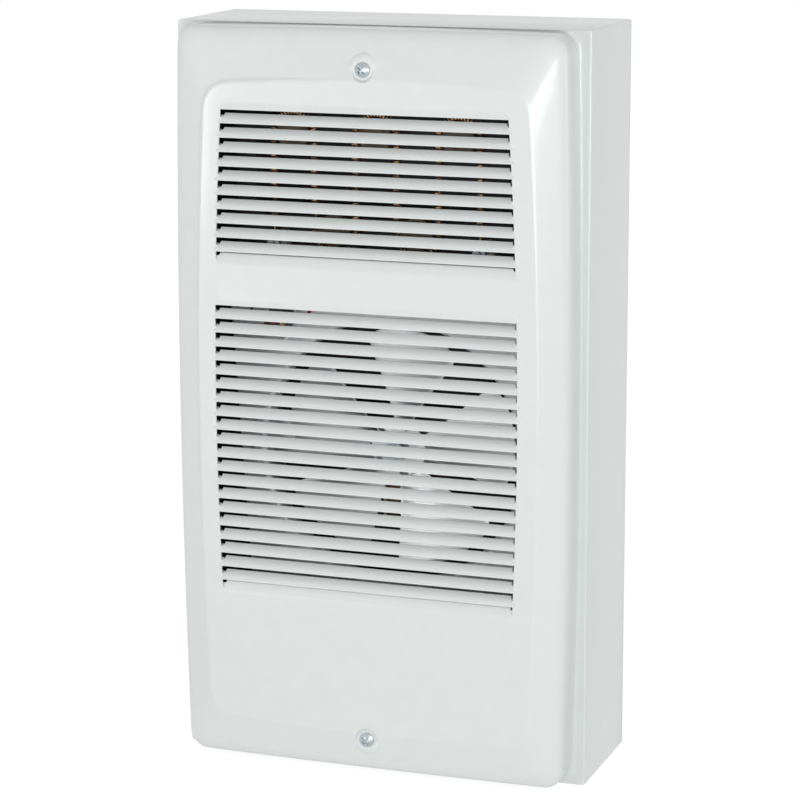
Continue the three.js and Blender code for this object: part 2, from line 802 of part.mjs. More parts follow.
function statorLaminations() {
  let stack = plateXZ(stackOutline(), stackFront, stackBack);
  const bore = roundHole(rotorRadius + airGap, 24);
  stack = stack.subtract(rodY(0, fanZ, stackFront - cutReach, stackBack + cutReach, bore, 24));
  stack = stack.subtract(boxBetween(-windowHalf, windowHalf, stackFront - cutReach, stackBack + cutReach,
    fanZ - stackBottom + legHeight, fanZ - windowTop));
  for (const side of [-1, 1]) {
    stack = stack.subtract(rodY(side * tieScrewX, fanZ, stackFront - cutReach, stackBack + cutReach,
      tieScrewRadius + holeGap, 8));
  }
  return stack;
}

// A ring of rectangular section round the motor's lower leg, along X
function legRing(halfLength, inner, outer) {
  const legTop = fanZ - stackBottom + legHeight;
  const legBottom = fanZ - stackBottom;
  return boxBetween(-halfLength, halfLength, stackFront - outer, stackBack + outer,
    legBottom - outer, legTop + outer)
    .subtract(boxBetween(-halfLength - cutReach, halfLength + cutReach, stackFront - inner, stackBack + inner,
      legBottom - inner, legTop + inner));
}

function statorBobbin() {
  const inner = seatGap;
  const core = seatGap + bobbinWall;
  const flange = core + windingBuild;
  const ring = legRing(bobbinHalf, inner, core);
  const cheek = (x) => legRing(bobbinWall / 2, inner, flange).translate([x, 0, 0]);
  const reach = bobbinHalf - bobbinWall / 2;
  return ring.add(cheek(-reach)).add(cheek(reach));
}

function statorWinding() {
  const core = seatGap * 2 + bobbinWall;
  return legRing(bobbinHalf - bobbinWall - seatGap, core, core + windingBuild - seatGap * 2);
}

// A bearing bracket: a band across the stack with a boss in its middle that holds the bearing
function bearingBracket(faceY, outward) {
  const far = faceY + outward * bracketPlate;
  const bossEnd = far + outward * (bearingLength - bracketPlate * 0.5);
  const reach = tieScrewX + bracketEnd;
  const span = (a, b) => [Math.min(a, b), Math.max(a, b)];
  let bracket = boxBetween(-reach, reach, ...span(faceY, far),
    fanZ - bracketBandHalf, fanZ + bracketBandHalf);
  bracket = bracket.add(rodY(0, fanZ, ...span(faceY, bossEnd), bearingRadius + bossWall, 16));
  const through = span(faceY - outward * cutReach, bossEnd + outward * cutReach);
  bracket = bracket.subtract(rodY(0, fanZ, ...through, bearingRadius + holeGap, 16));
  for (const side of [-1, 1]) {
    bracket = bracket.subtract(rodY(side * tieScrewX, fanZ, ...through, tieScrewRadius + holeGap, 8));
  }
  return bracket;
}

function bearing(faceY, outward) {
  const start = faceY + outward * 0.5;
  const end = start + outward * bearingLength;
  const low = Math.min(start, end);
  const high = Math.max(start, end);
  return rodY(0, fanZ, low, high, bearingRadius, 20)
    .subtract(rodY(0, fanZ, low - cutReach, high + cutReach, roundHole(shaftRadius + runningGap, 20), 20));
}

const frontBracketFace = stackFront - seatGap;
const rearBracketFace = stackBack + seatGap;
const spacerBack = frontBracketFace - bracketPlate - seatGap;
const strapBack = spacerBack - spacerLength - seatGap;
const strapFront = strapBack - strapSheet;
const strapFootBack = deckFront + deckSheet + seatGap + strapSheet;
const strapScrewX = strapLegX + strapSheet + strapFoot / 2;
const tieNutFace = rearBracketFace + bracketPlate;

function motorStrap() {
  const low = fanZ - strapHalfHeight;
  const high = fanZ + strapHalfHeight;
  const outer = strapLegX + strapSheet;
  let strap = boxBetween(-outer, outer, strapFront, strapBack, low, high);
  for (const side of [-1, 1]) {
    strap = strap.add(boxBetween(side * strapLegX, side * outer, strapFootBack - strapSheet, strapBack,
      low, high));
    strap = strap.add(boxBetween(side * strapLegX, side * (outer + strapFoot), strapFootBack - strapSheet,
      strapFootBack, low, high));
    strap = strap.subtract(rodY(side * strapScrewX, fanZ, strapFootBack - cutReach, strapFootBack + cutReach,
      screwRadius + holeGap, 8));
    strap = strap.subtract(rodY(side * tieScrewX, fanZ, strapFront - cutReach, strapBack + cutReach,
      tieScrewRadius + holeGap, 8));
  }
  return strap.subtract(rodY(0, fanZ, strapFront - cutReach, strapBack + cutReach,
    bearingRadius + bossWall + strapBossGap, 20));
}

function motorSpacer(side) {
  return rodY(side * tieScrewX, fanZ, spacerBack - spacerLength, spacerBack, spacerRadius, 10)
    .subtract(rodY(side * tieScrewX, fanZ, strapFront, stackFront, tieScrewRadius + holeGap, 10));
}

function hexNutY(x, z, yFront, yBack, acrossCorners, bore) {
  return rodY(x, z, yFront, yBack, acrossCorners, 6)
    .subtract(rodY(x, z, yFront - cutReach, yBack + cutReach, bore, 12));
}

// ---------------------------------------------------------------- element

// Centre line of the coil: up and down the columns, with a half turn between one and the next
function elementRoute() {
  const columnX = (i) => (i - (coilColumns - 1) / 2) * coilPitch;
  const straight = upperTurnZ - lowerTurnZ;
  const halfTurn = Math.PI * turnRadius;
  const pieces = [];
  for (let i = 0; i < coilColumns; i += 1) {
    const up = i % 2 === 0;
    pieces.push({ length: straight, x: columnX(i), up });
    if (i < coilColumns - 1) {
      pieces.push({ length: halfTurn, x: columnX(i) + turnRadius, up, turn: true });
    }
  }
  const total = pieces.reduce((sum, piece) => sum + piece.length, 0);
  const at = (distance) => {
    let left = Math.min(Math.max(distance, 0), total);
    for (const piece of pieces) {
      if (left > piece.length && piece !== pieces.at(-1)) {
        left -= piece.length;
        continue;
      }
      const sign = piece.up ? 1 : -1;
      if (!piece.turn) {
        const z = (piece.up ? lowerTurnZ : upperTurnZ) + sign * left;
        return { point: new THREE.Vector3(piece.x, coilY, z), side: new THREE.Vector3(sign, 0, 0) };
      }
      const angle = left / turnRadius;
      const centreZ = piece.up ? upperTurnZ : lowerTurnZ;
      const out = new THREE.Vector3(-Math.cos(angle), 0, sign * Math.sin(angle));
      const point = new THREE.Vector3(piece.x, coilY, centreZ).addScaledVector(out, turnRadius);
      return { point, side: out.clone().multiplyScalar(-sign) };
    }
    return null;
  };
  return { total, at };
}

// Centre points of the wire: a helix round the route, drawn in to a straight tail at each end
function wirePoints() {
  const route = elementRoute();
  const depthways = new THREE.Vector3(0, 1, 0);
  const steps = curlCount * curlSteps;
  const points = [];
  for (let i = 0; i <= steps; i += 1) {
    const distance = (route.total * i) / steps;
    const { point, side } = route.at(distance);
    const turn = (2 * Math.PI * i) / curlSteps;
    const fromEnd = Math.min(i, steps - i) / curlSteps;
    const radius = curlRadius * Math.min(1, fromEnd);
    points.push(point.clone()
      .addScaledVector(side, radius * Math.cos(turn))
      .addScaledVector(depthways, radius * Math.sin(turn)));
  }
  const tail = studZ + studNut * Math.cos(Math.PI / 6) + seatGap; // just above the nut's flat
  const first = points[0];
  const last = points.at(-1);
  const lower = (point, z) => new THREE.Vector3(point.x, coilY, z);
  const middle = (tail + lowerTurnZ) / 2;
  return [lower(first, tail), lower(first, middle), ...points, lower(last, middle), lower(last, tail)];
}

// Least gap between the wire and itself, measured between points more than three steps apart
function leastSelfGap(points) {
  let least = Infinity;
  points.forEach((point, i) => {
    for (let j = i + 4; j < points.length; j += 1) {
      least = Math.min(least, point.distanceTo(points[j]));
    }
  });
  return least - wireRadius * 2;
}

// A tube of few sides through the points, closed at both ends
function wireTube(points, radius, sides) {
  const positions = [];
  const triangles = [];
  let normal = new THREE.Vector3(0, 1, 0);
  points.forEach((point, i) => {
    const before = points[Math.max(i - 1, 0)];
    const after = points[Math.min(i + 1, points.length - 1)];
    const along = after.clone().sub(before).normalize();
    normal = normal.clone().addScaledVector(along, -normal.dot(along)).normalize();
    const across = along.clone().cross(normal);
    for (let k = 0; k < sides; k += 1) {
      const angle = (2 * Math.PI * k) / sides;
      const corner = point.clone()
        .addScaledVector(normal, radius * Math.cos(angle))
        .addScaledVector(across, radius * Math.sin(angle));
      positions.push(corner.x, corner.y, corner.z);
    }
  });
  const last = (points.length - 1) * sides;
  for (let k = 0; k < sides; k += 1) {
    const next = (k + 1) % sides;
    for (let i = 0; i + 1 < points.length; i += 1) {
      const a = i * sides;
      triangles.push(a + k, a + next, a + sides + k, a + next, a + sides + next, a + sides + k);
    }
    if (k > 0 && k < sides - 1) {
      triangles.push(0, k + 1, k);
      triangles.push(last, last + k, last + k + 1);
    }
  }
  const geometry = new THREE.BufferGeometry();
  geometry.setAttribute('position', new THREE.Float32BufferAttribute(positions, 3));
  geometry.setIndex(triangles);
  return solid(geometry);
}

function heatingCoil() {
  const points = wirePoints();
  const gapLeft = leastSelfGap(points);
  console.log(`heating_coil: least gap of the wire to itself ${gapLeft.toFixed(2)} mm`);
  return wireTube(points, wireRadius, wireSides);
}

const columnEdge = ((coilColumns - 1) / 2) * coilPitch;
const frameTop = upperTurnZ + frameBar / 2;
const frameBottom = studZ - frameBar / 2 - studMargin;
const frameInnerBottom = lowerTurnZ + frameBar / 2;
const frameFootTop = baffleZ + baffleSheet + seatGap + frameSheet;
const frameLegX = frameHalf - frameLegWidth;
const frameScrewX = frameHalf - frameLegWidth / 2;
const frameScrewY = frameY - frameFoot / 2;

// Centres of the half turns: the upper ones first
function turnPlaces() {
  const places = [];
  for (let i = 0; i < coilColumns - 1; i += 1) {
    const x = -columnEdge + coilPitch * (i + 0.5);
    places.push({ x, z: i % 2 === 0 ? upperTurnZ : lowerTurnZ });
  }
  return places;
}

function elementFrame() {
  const back = frameY + frameSheet;
  const through = [frameY - cutReach, back + cutReach];
  let frame = boxBetween(-frameHalf, frameHalf, frameY, back, frameBottom, frameTop);
  frame = frame.subtract(boxBetween(-frameHalf + frameBar, frameHalf - frameBar, ...through,
    frameInnerBottom, frameTop - frameBar));
  for (const side of [-1, 1]) {
    frame = frame.add(boxBetween(side * frameLegX, side * frameHalf, frameY, back,
      frameFootTop - frameSheet, frameBottom + 1));
    frame = frame.add(boxBetween(side * frameLegX, side * frameHalf, frameY - frameFoot, back,
      frameFootTop - frameSheet, frameFootTop));
    frame = frame.subtract(rodZ(side * frameScrewX, frameScrewY, frameFootTop - cutReach,
      frameFootTop + cutReach, screwRadius + holeGap, 8));
    frame = frame.subtract(rodY(side * columnEdge, studZ, ...through, bushingNeck + holeGap, 14));
  }
  for (const { x, z } of turnPlaces()) {
    frame = frame.subtract(rodY(x, z, ...through, screwRadius + holeGap, 8));
  }
  return frame;
}

// A mica former that a half turn of the coil lies round, on a stem with a peg in the frame
function coilFormer(x, z) {
  const rim = turnRadius - curlRadius - wireRadius - formerWireGap;
  return turnedY([
    [0, coilY - formerDepth / 2],
    [rim, coilY - formerDepth / 2],
    [rim, coilY + formerDepth / 2],
    [formerStem, coilY + formerDepth / 2],
    [formerStem, frameY - seatGap],
    [screwRadius, frameY - seatGap],
    [screwRadius, frameY + frameSheet + formerTail],
    [0, frameY + frameSheet + formerTail],
  ], x, z, 12);
}

const bushingFront = coilY + studNutLength / 2 + seatGap;
const bushingBack = frameY + frameSheet + bushingTail;

function terminalBushing(side) {
  return turnedY([
    [studRadius + holeGap, bushingFront],
    [bushingRadius, bushingFront],
    [bushingRadius, frameY - seatGap],
    [bushingNeck, frameY - seatGap],
    [bushingNeck, bushingBack],
    [studRadius + holeGap, bushingBack],
  ], side * columnEdge, studZ, 12);
}

const studBack = bushingBack + studTail;

function terminalStud(side) {
  const x = side * columnEdge;
  const nut = new THREE.CylinderGeometry(studNut, studNut, studNutLength, 6);
  nut.rotateY(Math.PI / 6);
  nut.translate(x, coilY, studZ);
  return rodY(x, studZ, coilY - studNutLength / 2 - studProud, studBack, studRadius, 12).add(solid(nut));
}

// A screw along Z with its head on top
function screwDown(x, y, seatZ, tipZ) {
  const under = seatZ + seatGap;
  return rodZ(x, y, tipZ, under + 0.2, screwRadius, 8)
    .add(rodZ(x, y, under, under + screwHeadHeight, screwHead, 8));
}

// ---------------------------------------------------------------- limit switch

const limitFlangeBack = deckFront - seatGap;
const limitFlangeFront = limitFlangeBack - limitFlangeSheet;
const limitBodyBack = limitFlangeFront - seatGap;
const limitBodyFront = limitBodyBack - limitBodyDepth;

function limitCup() {
  let cup = rodY(limitX, limitZ, limitFlangeFront, limitFlangeBack + limitCupDepth, limitCupRadius, 16);
  cup = cup.add(boxBetween(limitX - limitEarHalf, limitX + limitEarHalf, limitFlangeFront, limitFlangeBack,
    limitZ - limitEar - limitEarEnd, limitZ + limitEar + limitEarEnd));
  for (const side of [-1, 1]) {
    cup = cup.subtract(rodY(limitX, limitZ + side * limitEar, limitFlangeFront - cutReach,
      limitFlangeBack + cutReach, screwRadius * 0.7 + holeGap, 8));
  }
  return cup;
}

function limitBody() {
  let body = rodY(limitX, limitZ, limitBodyFront, limitBodyBack, limitBodyRadius, 18);
  const pocket = limitBodyFront + resetSeat + resetTravel + 0.5;
  body = body.subtract(rodY(limitX, limitZ, limitBodyFront - cutReach, pocket,
    roundHole(resetRadius + holeGap, 14), 14));
  for (const side of [-1, 1]) {
    const x = limitX + side * tabX;
    body = body.subtract(boxBetween(x - tabSheet / 2 - holeGap, x + tabSheet / 2 + holeGap,
      limitBodyFront - cutReach, limitBodyFront + tabRoot + holeGap,
      limitZ - tabWidth / 2 - holeGap, limitZ + tabWidth / 2 + holeGap));
  }
  return body;
}

function resetButton() {
  return turnedY([
    [0, limitBodyFront - resetOut],
    [resetRadius * 0.75, limitBodyFront - resetOut],
    [resetRadius, limitBodyFront - resetOut + 0.8],
    [resetRadius, limitBodyFront + resetSeat],
    [0, limitBodyFront + resetSeat],
  ], limitX, limitZ, 14);
}

function limitTab(side) {
  const x = limitX + side * tabX;
  return boxBetween(x - tabSheet / 2, x + tabSheet / 2, limitBodyFront - tabLength, limitBodyFront + tabRoot,
    limitZ - tabWidth / 2, limitZ + tabWidth / 2);
}

// ---------------------------------------------------------------- leads, grommets and terminal block

function lead(points, steps) {
  const route = new THREE.CatmullRomCurve3(points.map(([x, y, z]) => new THREE.Vector3(x, y, z)),
    false, 'centripetal');
  const section = [];
  for (let i = 0; i < leadSides; i += 1) {
    const angle = (i * Math.PI * 2) / leadSides;
    section.push([leadRadius * Math.cos(angle), leadRadius * Math.sin(angle)]);
  }
  const options = { steps, extrudePath: route, bevelEnabled: false };
  return solid(new THREE.ExtrudeGeometry(polygon(section), options));
}

const tabLeadY = limitBodyFront - tabLength / 2;
const deckBack = deckFront + deckSheet;
const blockEntry = blockTop + seatGap;
const grommetMiddle = deckBottom + deckSheet / 2;

// From the terminal block up through a grommet in the deck's floor
function risingStart(side, poleOffset, spread) {
  return [
    [side * (poleX + poleOffset), -blockDepth / 2 - 2, blockEntry],
    [side * (poleX + poleOffset), -blockDepth / 2 - 2, blockEntry + 5],
    [side * (grommetX + spread), -grommetDepth, grommetMiddle - 5],
    [side * (grommetX + spread), -grommetDepth, grommetMiddle + 6],
  ];
}

// Up beside the fan, near the wall
function sideRun(side) {
  return [
    [side * leadBendX, -leadBendDepth, deckBottom + leadBendRise],
    [side * (leadSideX - leadSway), -leadSideDepth, fanZ - leadSideDrop],
    [side * leadSideX, -leadSideDepth, fanZ + leadSideRise],
  ];
}

function elementLead() {
  return lead([
    ...risingStart(1, 4, leadSpread),
    ...sideRun(1),
    [leadSideX - leadSway, -leadSideDepth, baffleZ - 24],
    [columnEdge + leadSway, -grommetDepth, studZ - 6],
    [columnEdge, studBack + leadStraight, studZ],
    [columnEdge, studBack + seatGap, studZ],
  ], 32);
}

function lineLead() {
  return lead([
    ...risingStart(-1, 4, leadSpread),
    ...sideRun(-1),
    [limitX - leadSway, -leadBendDepth, leadHoleZ - 24],
    [leadHoleX - leadSpread - leadSway, deckBack + leadStraight, leadHoleZ - 2],
    [leadHoleX - leadSpread, deckBack, leadHoleZ],
    [leadHoleX - leadSpread, deckFront - 6, leadHoleZ],
    [leadHoleX - 10, deckFront - 12, leadHoleZ + 4],
    [limitX - 8, deckFront - 14, limitZ + 19],
    [limitX - 18, tabLeadY + 1, limitZ + 10],
    [limitX - tabX - 7, tabLeadY, limitZ],
    [limitX - tabX - tabSheet / 2 - seatGap, tabLeadY, limitZ],
  ], 46);
}

function limitLead() {
  return lead([
    [limitX + tabX + tabSheet / 2 + seatGap, tabLeadY, limitZ],
    [limitX + tabX + 7, tabLeadY, limitZ],
    [leadHoleX - 1, tabLeadY + 4, limitZ + 3],
    [leadHoleX + leadSpread, deckFront - 7, leadHoleZ - 1],
    [leadHoleX + leadSpread, deckBack + 3, leadHoleZ],
    [leadHoleX - 2, -56, leadHoleZ + 10],
    [-columnEdge + 3, -52, studZ - 10],
    [-columnEdge, studBack + leadStraight, studZ],
    [-columnEdge, studBack + seatGap, studZ],
  ], 22);
}

const windingBottom = fanZ - stackBottom - seatGap - bobbinWall - windingBuild;

function motorLead(side) {
  const startY = stackBack + 2;
  return lead([
    ...risingStart(side, -4, -leadSpread),
    [side * (grommetX - 8), -leadBendDepth - 4, deckBottom + leadBendRise],
    [side * 14, startY - 4, windingBottom - 12],
    [side * 9, startY, windingBottom - 5],
    [side * 9, startY, windingBottom - seatGap],
  ], 18);
}

function leadGrommet(side) {
  const under = deckBottom - seatGap;
  const over = deckBottom + deckSheet + seatGap;
  const points = [
    [grommetBore, under - 1.6],
    [grommetFlange, under - 1.6],
    [grommetFlange, under],
    [grommetNeck, under],
    [grommetNeck, over],
    [grommetFlange, over],
    [grommetFlange, over + 1.6],
    [grommetBore, over + 1.6],
    [grommetBore, under - 1.6],
  ].map(([radius, height]) => new THREE.Vector2(radius, height));
  const ring = new THREE.LatheGeometry(points, 10);
  ring.rotateX(Math.PI / 2);
  ring.translate(side * grommetX, -grommetDepth, 0);
  return solid(ring);
}

const blockBack = -canSheet - seatGap;
const blockFront = blockBack - blockDepth;

function terminalBlock() {
  let block = boxBetween(-blockHalf, blockHalf, blockFront, blockBack, blockBottom, blockTop);
  block = block.subtract(boxBetween(-blockNotch / 2, blockNotch / 2,
    blockFront - cutReach, blockFront + cutReach, blockBottom - cutReach, blockTop + cutReach));
  for (const side of [-1, 1]) {
    for (const z of poleHeights()) {
      block = block.subtract(rodY(side * poleX, z, blockFront - cutReach, blockFront + poleDepth,
        screwRadius + holeGap, 8));
    }
  }
  return block;
}

function poleHeights() {
  return [blockBottom + blockHeight * 0.27, blockBottom + blockHeight * 0.73];
}

// ---------------------------------------------------------------- the whole heater

add('surface_can', surfaceCan(), whitePaint);
add('front_cover', frontCover(), whitePaint);
for (const [name, side] of [['top', 1], ['bottom', -1]]) {
  add(`cover_screw_${name}`, panScrew(0, side * coverScrewZ, panelFront + coverScrewSeatDrop, coverScrewTip,
    coverScrewRadius, coverScrewHead, coverScrewHeadHeight, true), zinc);
  add(`cover_bracket_${name}`, coverBracket(side), galvanised);
}

add('fan_deck', fanDeck(), galvanised);
deckFootPlaces().forEach(({ x, z }, i) => {
  const seat = -canSheet - seatGap - deckSheet;
  add(`deck_screw_${i + 1}`, panScrew(x, z, seat, -seatGap, screwRadius, screwHead, screwHeadHeight,
    false), zinc);
});
add('divider_baffle', dividerBaffle(), galvanised);

add('fan_blades', fanBlades(), aluminium);
add('fan_hub', fanHub(), brass);
add('hub_set_screw', hubSetScrew(), zinc);
add('motor_shaft', motorShaft(), zinc);
add('motor_rotor', motorRotor(), aluminium);
add('stator_laminations', statorLaminations(), lamination);
add('stator_bobbin', statorBobbin(), nylon);
add('stator_winding', statorWinding(), copper);
add('bearing_bracket_front', bearingBracket(frontBracketFace, -1), zinc);
add('bearing_bracket_rear', bearingBracket(rearBracketFace, 1), zinc);
add('bearing_front', bearing(frontBracketFace, -1), bronze);
add('bearing_rear', bearing(rearBracketFace, 1), bronze);
add('motor_strap', motorStrap(), galvanised);
for (const [name, side] of [['left', -1], ['right', 1]]) {
  const x = side * tieScrewX;
  add(`motor_spacer_${name}`, motorSpacer(side), rubber);
  add(`motor_tie_screw_${name}`, panScrew(x, fanZ, strapFront, tieNutFace + 4.5, tieScrewRadius,
    screwHead, screwHeadHeight, false), zinc);
  add(`motor_nut_${name}`, hexNutY(x, fanZ, tieNutFace + seatGap, tieNutFace + seatGap + 3, screwHead,
    tieScrewRadius + holeGap), zinc);
  add(`strap_screw_${name}`, panScrew(side * strapScrewX, fanZ, deckFront, strapFootBack + 2,
    screwRadius, screwHead, screwHeadHeight, false), zinc);
}

add('element_frame', elementFrame(), blackSteel);
turnPlaces().forEach(({ x, z }, i) => add(`coil_former_${i + 1}`, coilFormer(x, z), mica));
add('heating_coil', heatingCoil(), nichrome);
for (const [name, side] of [['left', -1], ['right', 1]]) {
  add(`terminal_bushing_${name}`, terminalBushing(side), ceramic);
  add(`terminal_stud_${name}`, terminalStud(side), zinc);
  add(`frame_screw_${name}`, screwDown(side * frameScrewX, frameScrewY, frameFootTop, baffleZ - 2), zinc);
}

add('limit_cup', limitCup(), aluminium);
add('limit_body', limitBody(), phenolic);
add('reset_button', resetButton(), redPlastic);
for (const [name, side] of [['left', -1], ['right', 1]]) {
  add(`limit_tab_${name}`, limitTab(side), brass);
}

add('lead_line', lineLead(), blackLead);
add('lead_element', elementLead(), blackLead);
add('lead_limit', limitLead(), redLead);
for (const [name, side] of [['left', -1], ['right', 1]]) {
  add(`lead_motor_${name}`, motorLead(side), blackLead);
  add(`lead_grommet_${name}`, leadGrommet(side), rubber);
}
add('terminal_block', terminalBlock(), phenolic);
add('ground_screw', panScrew(groundScrewX, blockBottom, -canSheet, -seatGap, screwRadius,
  screwHead, screwHeadHeight, false), brass);

export default heater;
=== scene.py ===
"""The looks of a wall fan heater for a bathroom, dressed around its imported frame.

The louvred cover, the can, the fan, the deck, the motor, the element, the limit switch and the wiring are
classes below; each one models its pieces and gives them their finish. Metres. X is to the right, Z is up and
+Y goes into the wall, so the louvred front faces -Y.
"""

import logging
import math
from collections.abc import Callable, Iterator, Sequence
from contextlib import contextmanager
from dataclasses import dataclass
from enum import Enum

import bmesh
import bpy
from mathutils import Matrix, Vector


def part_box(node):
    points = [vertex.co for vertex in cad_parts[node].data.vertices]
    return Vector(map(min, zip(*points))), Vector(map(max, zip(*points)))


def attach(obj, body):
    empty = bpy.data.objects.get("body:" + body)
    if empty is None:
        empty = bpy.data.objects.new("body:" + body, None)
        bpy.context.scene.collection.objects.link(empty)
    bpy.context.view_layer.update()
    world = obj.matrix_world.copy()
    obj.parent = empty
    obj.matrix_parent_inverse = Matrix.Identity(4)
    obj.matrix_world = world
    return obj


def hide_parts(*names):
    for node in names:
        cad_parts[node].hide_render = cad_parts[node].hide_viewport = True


LOG = logging.getLogger("wall_heater")
MM = 0.001
THREAD = 0.8 * MM
Colour = tuple[float, float, float]
Pair = tuple[float, float]
Piece = bpy.types.Object
SIDES = ("left", "right")
DECK_SCREWS = tuple(f"deck_screw_{number}" for number in range(1, 5))

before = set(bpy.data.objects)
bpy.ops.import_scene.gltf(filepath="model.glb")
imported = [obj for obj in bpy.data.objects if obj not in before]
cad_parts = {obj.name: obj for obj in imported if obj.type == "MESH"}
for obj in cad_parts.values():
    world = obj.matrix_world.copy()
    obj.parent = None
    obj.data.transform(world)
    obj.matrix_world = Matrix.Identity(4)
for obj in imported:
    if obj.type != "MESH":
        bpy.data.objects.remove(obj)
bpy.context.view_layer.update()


class Body(Enum):
    """The bodies that pieces ride on."""

    HEATER = "heater"
    FAN = "fan"
    BUTTON = "reset_button"


class Along(Enum):
    """A direction that a piece is drawn out, drilled or turned along: the number of its coordinate."""

    X = 0
    Y = 1
    Z = 2

    def point(self, first: float, second: float, depth: float) -> Vector:
        """Puts two coordinates across this direction and one along it in their places.

        Args:
            first: The coordinate across, X before Y before Z.
            second: The other coordinate across.
            depth: The coordinate along this direction.

        Returns:
            The point.
        """
        place = [first, second]
        place.insert(self.value, depth)
        return Vector(place)


# ---- shader maths


class Socket:
    """A node's output, wrapped so that sums on it add Math nodes."""

    def __init__(self, shader: "Shader", source: bpy.types.NodeSocket) -> None:
        """Wraps a socket of a shader's node tree."""
        self.shader = shader
        self.source = source

    def _maths(self, operation: str, first: "Socket | float", second: "Socket | float" = 0.0) -> "Socket":
        """Adds one Math node and returns its result."""
        return self.shader.node("ShaderNodeMath", {0: first, 1: second}, operation=operation)

    def __add__(self, other: "Socket | float") -> "Socket":
        """Returns the sum."""
        return self._maths("ADD", self, other)

    def __sub__(self, other: "Socket | float") -> "Socket":
        """Returns the difference."""
        return self._maths("SUBTRACT", self, other)

    def __rsub__(self, other: float) -> "Socket":
        """Returns a number less this socket."""
        return self._maths("SUBTRACT", other, self)

    def __mul__(self, other: "Socket | float") -> "Socket":
        """Returns the product."""
        return self._maths("MULTIPLY", self, other)

    __radd__ = __add__
    __rmul__ = __mul__

    def sine(self) -> "Socket":
        """Returns the sine, the angle being in radians."""
        return self._maths("SINE", self)

    def at_least(self, other: "Socket | float") -> "Socket":
        """Returns the larger of the two."""
        return self._maths("MAXIMUM", self, other)


class Shader:
    """The node tree of a material or of the world, filled from empty."""

    def __init__(self, tree: bpy.types.NodeTree) -> None:
        """Takes a node tree and empties it."""
        self.tree = tree
        self.tree.nodes.clear()

    def node(self, kind: str, sockets: dict[str | int, object] | None = None, output: str | int = 0,
             **settings: object) -> Socket:
        """Adds one node.

        Args:
            kind: The node's type.
            sockets: Values or wrapped sockets for its inputs, by name or number.
            output: The output to return.
            **settings: The node's own settings, set before its sockets.

        Returns:
            The chosen output, wrapped.
        """
        made = self.tree.nodes.new(kind)
        for name, value in settings.items():
            setattr(made, name, value)
        for key, value in (sockets or {}).items():
            if isinstance(value, Socket):
                self.tree.links.new(value.source, made.inputs[key])
            else:
                made.inputs[key].default_value = value
        return Socket(self, made.outputs[output] if made.outputs else None)

    def place(self) -> Socket:
        """Returns the place on the piece, in metres."""
        return self.node("ShaderNodeTexCoord", output="Object")

    def noise(self, place: Socket, scale: float, detail: float, roughness: float = 0.5) -> Socket:
        """Returns noise with so many cells to a metre."""
        return self.node("ShaderNodeTexNoise", {"Vector": place, "Scale": scale, "Detail": detail,
                                                "Roughness": roughness})

    def ray(self, kind: str) -> Socket:
        """Returns 1 for one kind of light ray and 0 for the others."""
        return self.node("ShaderNodeLightPath", output=f"Is {kind} Ray")

    def mix(self, share: Socket, empty: Colour, full: Colour) -> Socket:
        """Mixes two colours, the first one where the share is 0 and the second where it is 1."""
        return self.node("ShaderNodeMix", {0: share, 6: (*empty, 1.0), 7: (*full, 1.0)}, output=2,
                         data_type="RGBA")


# ---- finishes


class Grain(Enum):
    """How a finish varies over its surface."""

    CLOUDS = "soft clouds"
    SPANGLE = "zinc crystals"
    ROLLED = "fine lines along X"
    SHEETS = "thin sheets stacked along Y"
    TURNS = "wire wound round X"
    FLAKES = "small flat flakes"


@dataclass(frozen=True)
class Finish:
    """One finish of the real heater.

    The colours are linear. Grain is where the first colour, roughness and height turn into the second.
    """

    slot: str
    colour: Colour
    second: Colour
    roughness: Pair
    grain: Grain
    size: float
    relief: float
    metallic: float = 0.0
    coat: float = 0.0
    skin: float = 0.6 * MM

    def grain_of(self, shader: Shader) -> Socket:
        """Draws this finish's grain.

        Args:
            shader: The material that it is drawn in.

        Returns:
            The grain, from 0 to 1.
        """
        place = shader.place()
        if self.grain in (Grain.SPANGLE, Grain.FLAKES):
            cells = shader.node("ShaderNodeTexVoronoi", {"Vector": place, "Scale": 1 / self.size}, "Color")
            shade = shader.node("ShaderNodeSeparateColor", {0: cells})
            return shade * 0.6 + shader.noise(place, 0.4 / self.size, 2.0) * 0.4
        if self.grain in (Grain.SHEETS, Grain.TURNS):
            axis = "Y" if self.grain is Grain.SHEETS else "X"
            depth = shader.node("ShaderNodeSeparateXYZ", {0: place}, axis)
            return (depth * (math.tau / self.size)).sine() * 0.5 + 0.5
        if self.grain is Grain.ROLLED:
            place = shader.node("ShaderNodeMapping", {"Vector": place, "Scale": (0.08, 1.0, 1.0)})
        return shader.noise(place, 1 / self.size, 4.0, 0.55)

    def material(self) -> bpy.types.Material:
        """Makes this finish's material, or finds the one made before.

        Returns:
            The material.
        """
        known = bpy.data.materials.get(f"{self.slot}_finish")
        if known:
            return known
        made = bpy.data.materials.new(f"{self.slot}_finish")
        made.use_nodes = True
        shader = Shader(made.node_tree)
        grain = self.grain_of(shader)
        relief = grain * 0.7 + shader.noise(shader.place(), 1 / self.skin, 2.0) * 0.3
        smooth, rough = self.roughness
        surface = shader.node("ShaderNodeBsdfPrincipled", {
            "Base Color": shader.mix(grain, self.colour, self.second),
            "Metallic": self.metallic,
            "Roughness": grain * (rough - smooth) + smooth,
            "Coat Weight": self.coat,
            "Coat Roughness": 0.12,
            "Normal": shader.node("ShaderNodeBump", {"Strength": 1.0, "Distance": self.relief,
                                                     "Height": relief}),
        })
        shader.node("ShaderNodeOutputMaterial", {"Surface": surface})
        return made


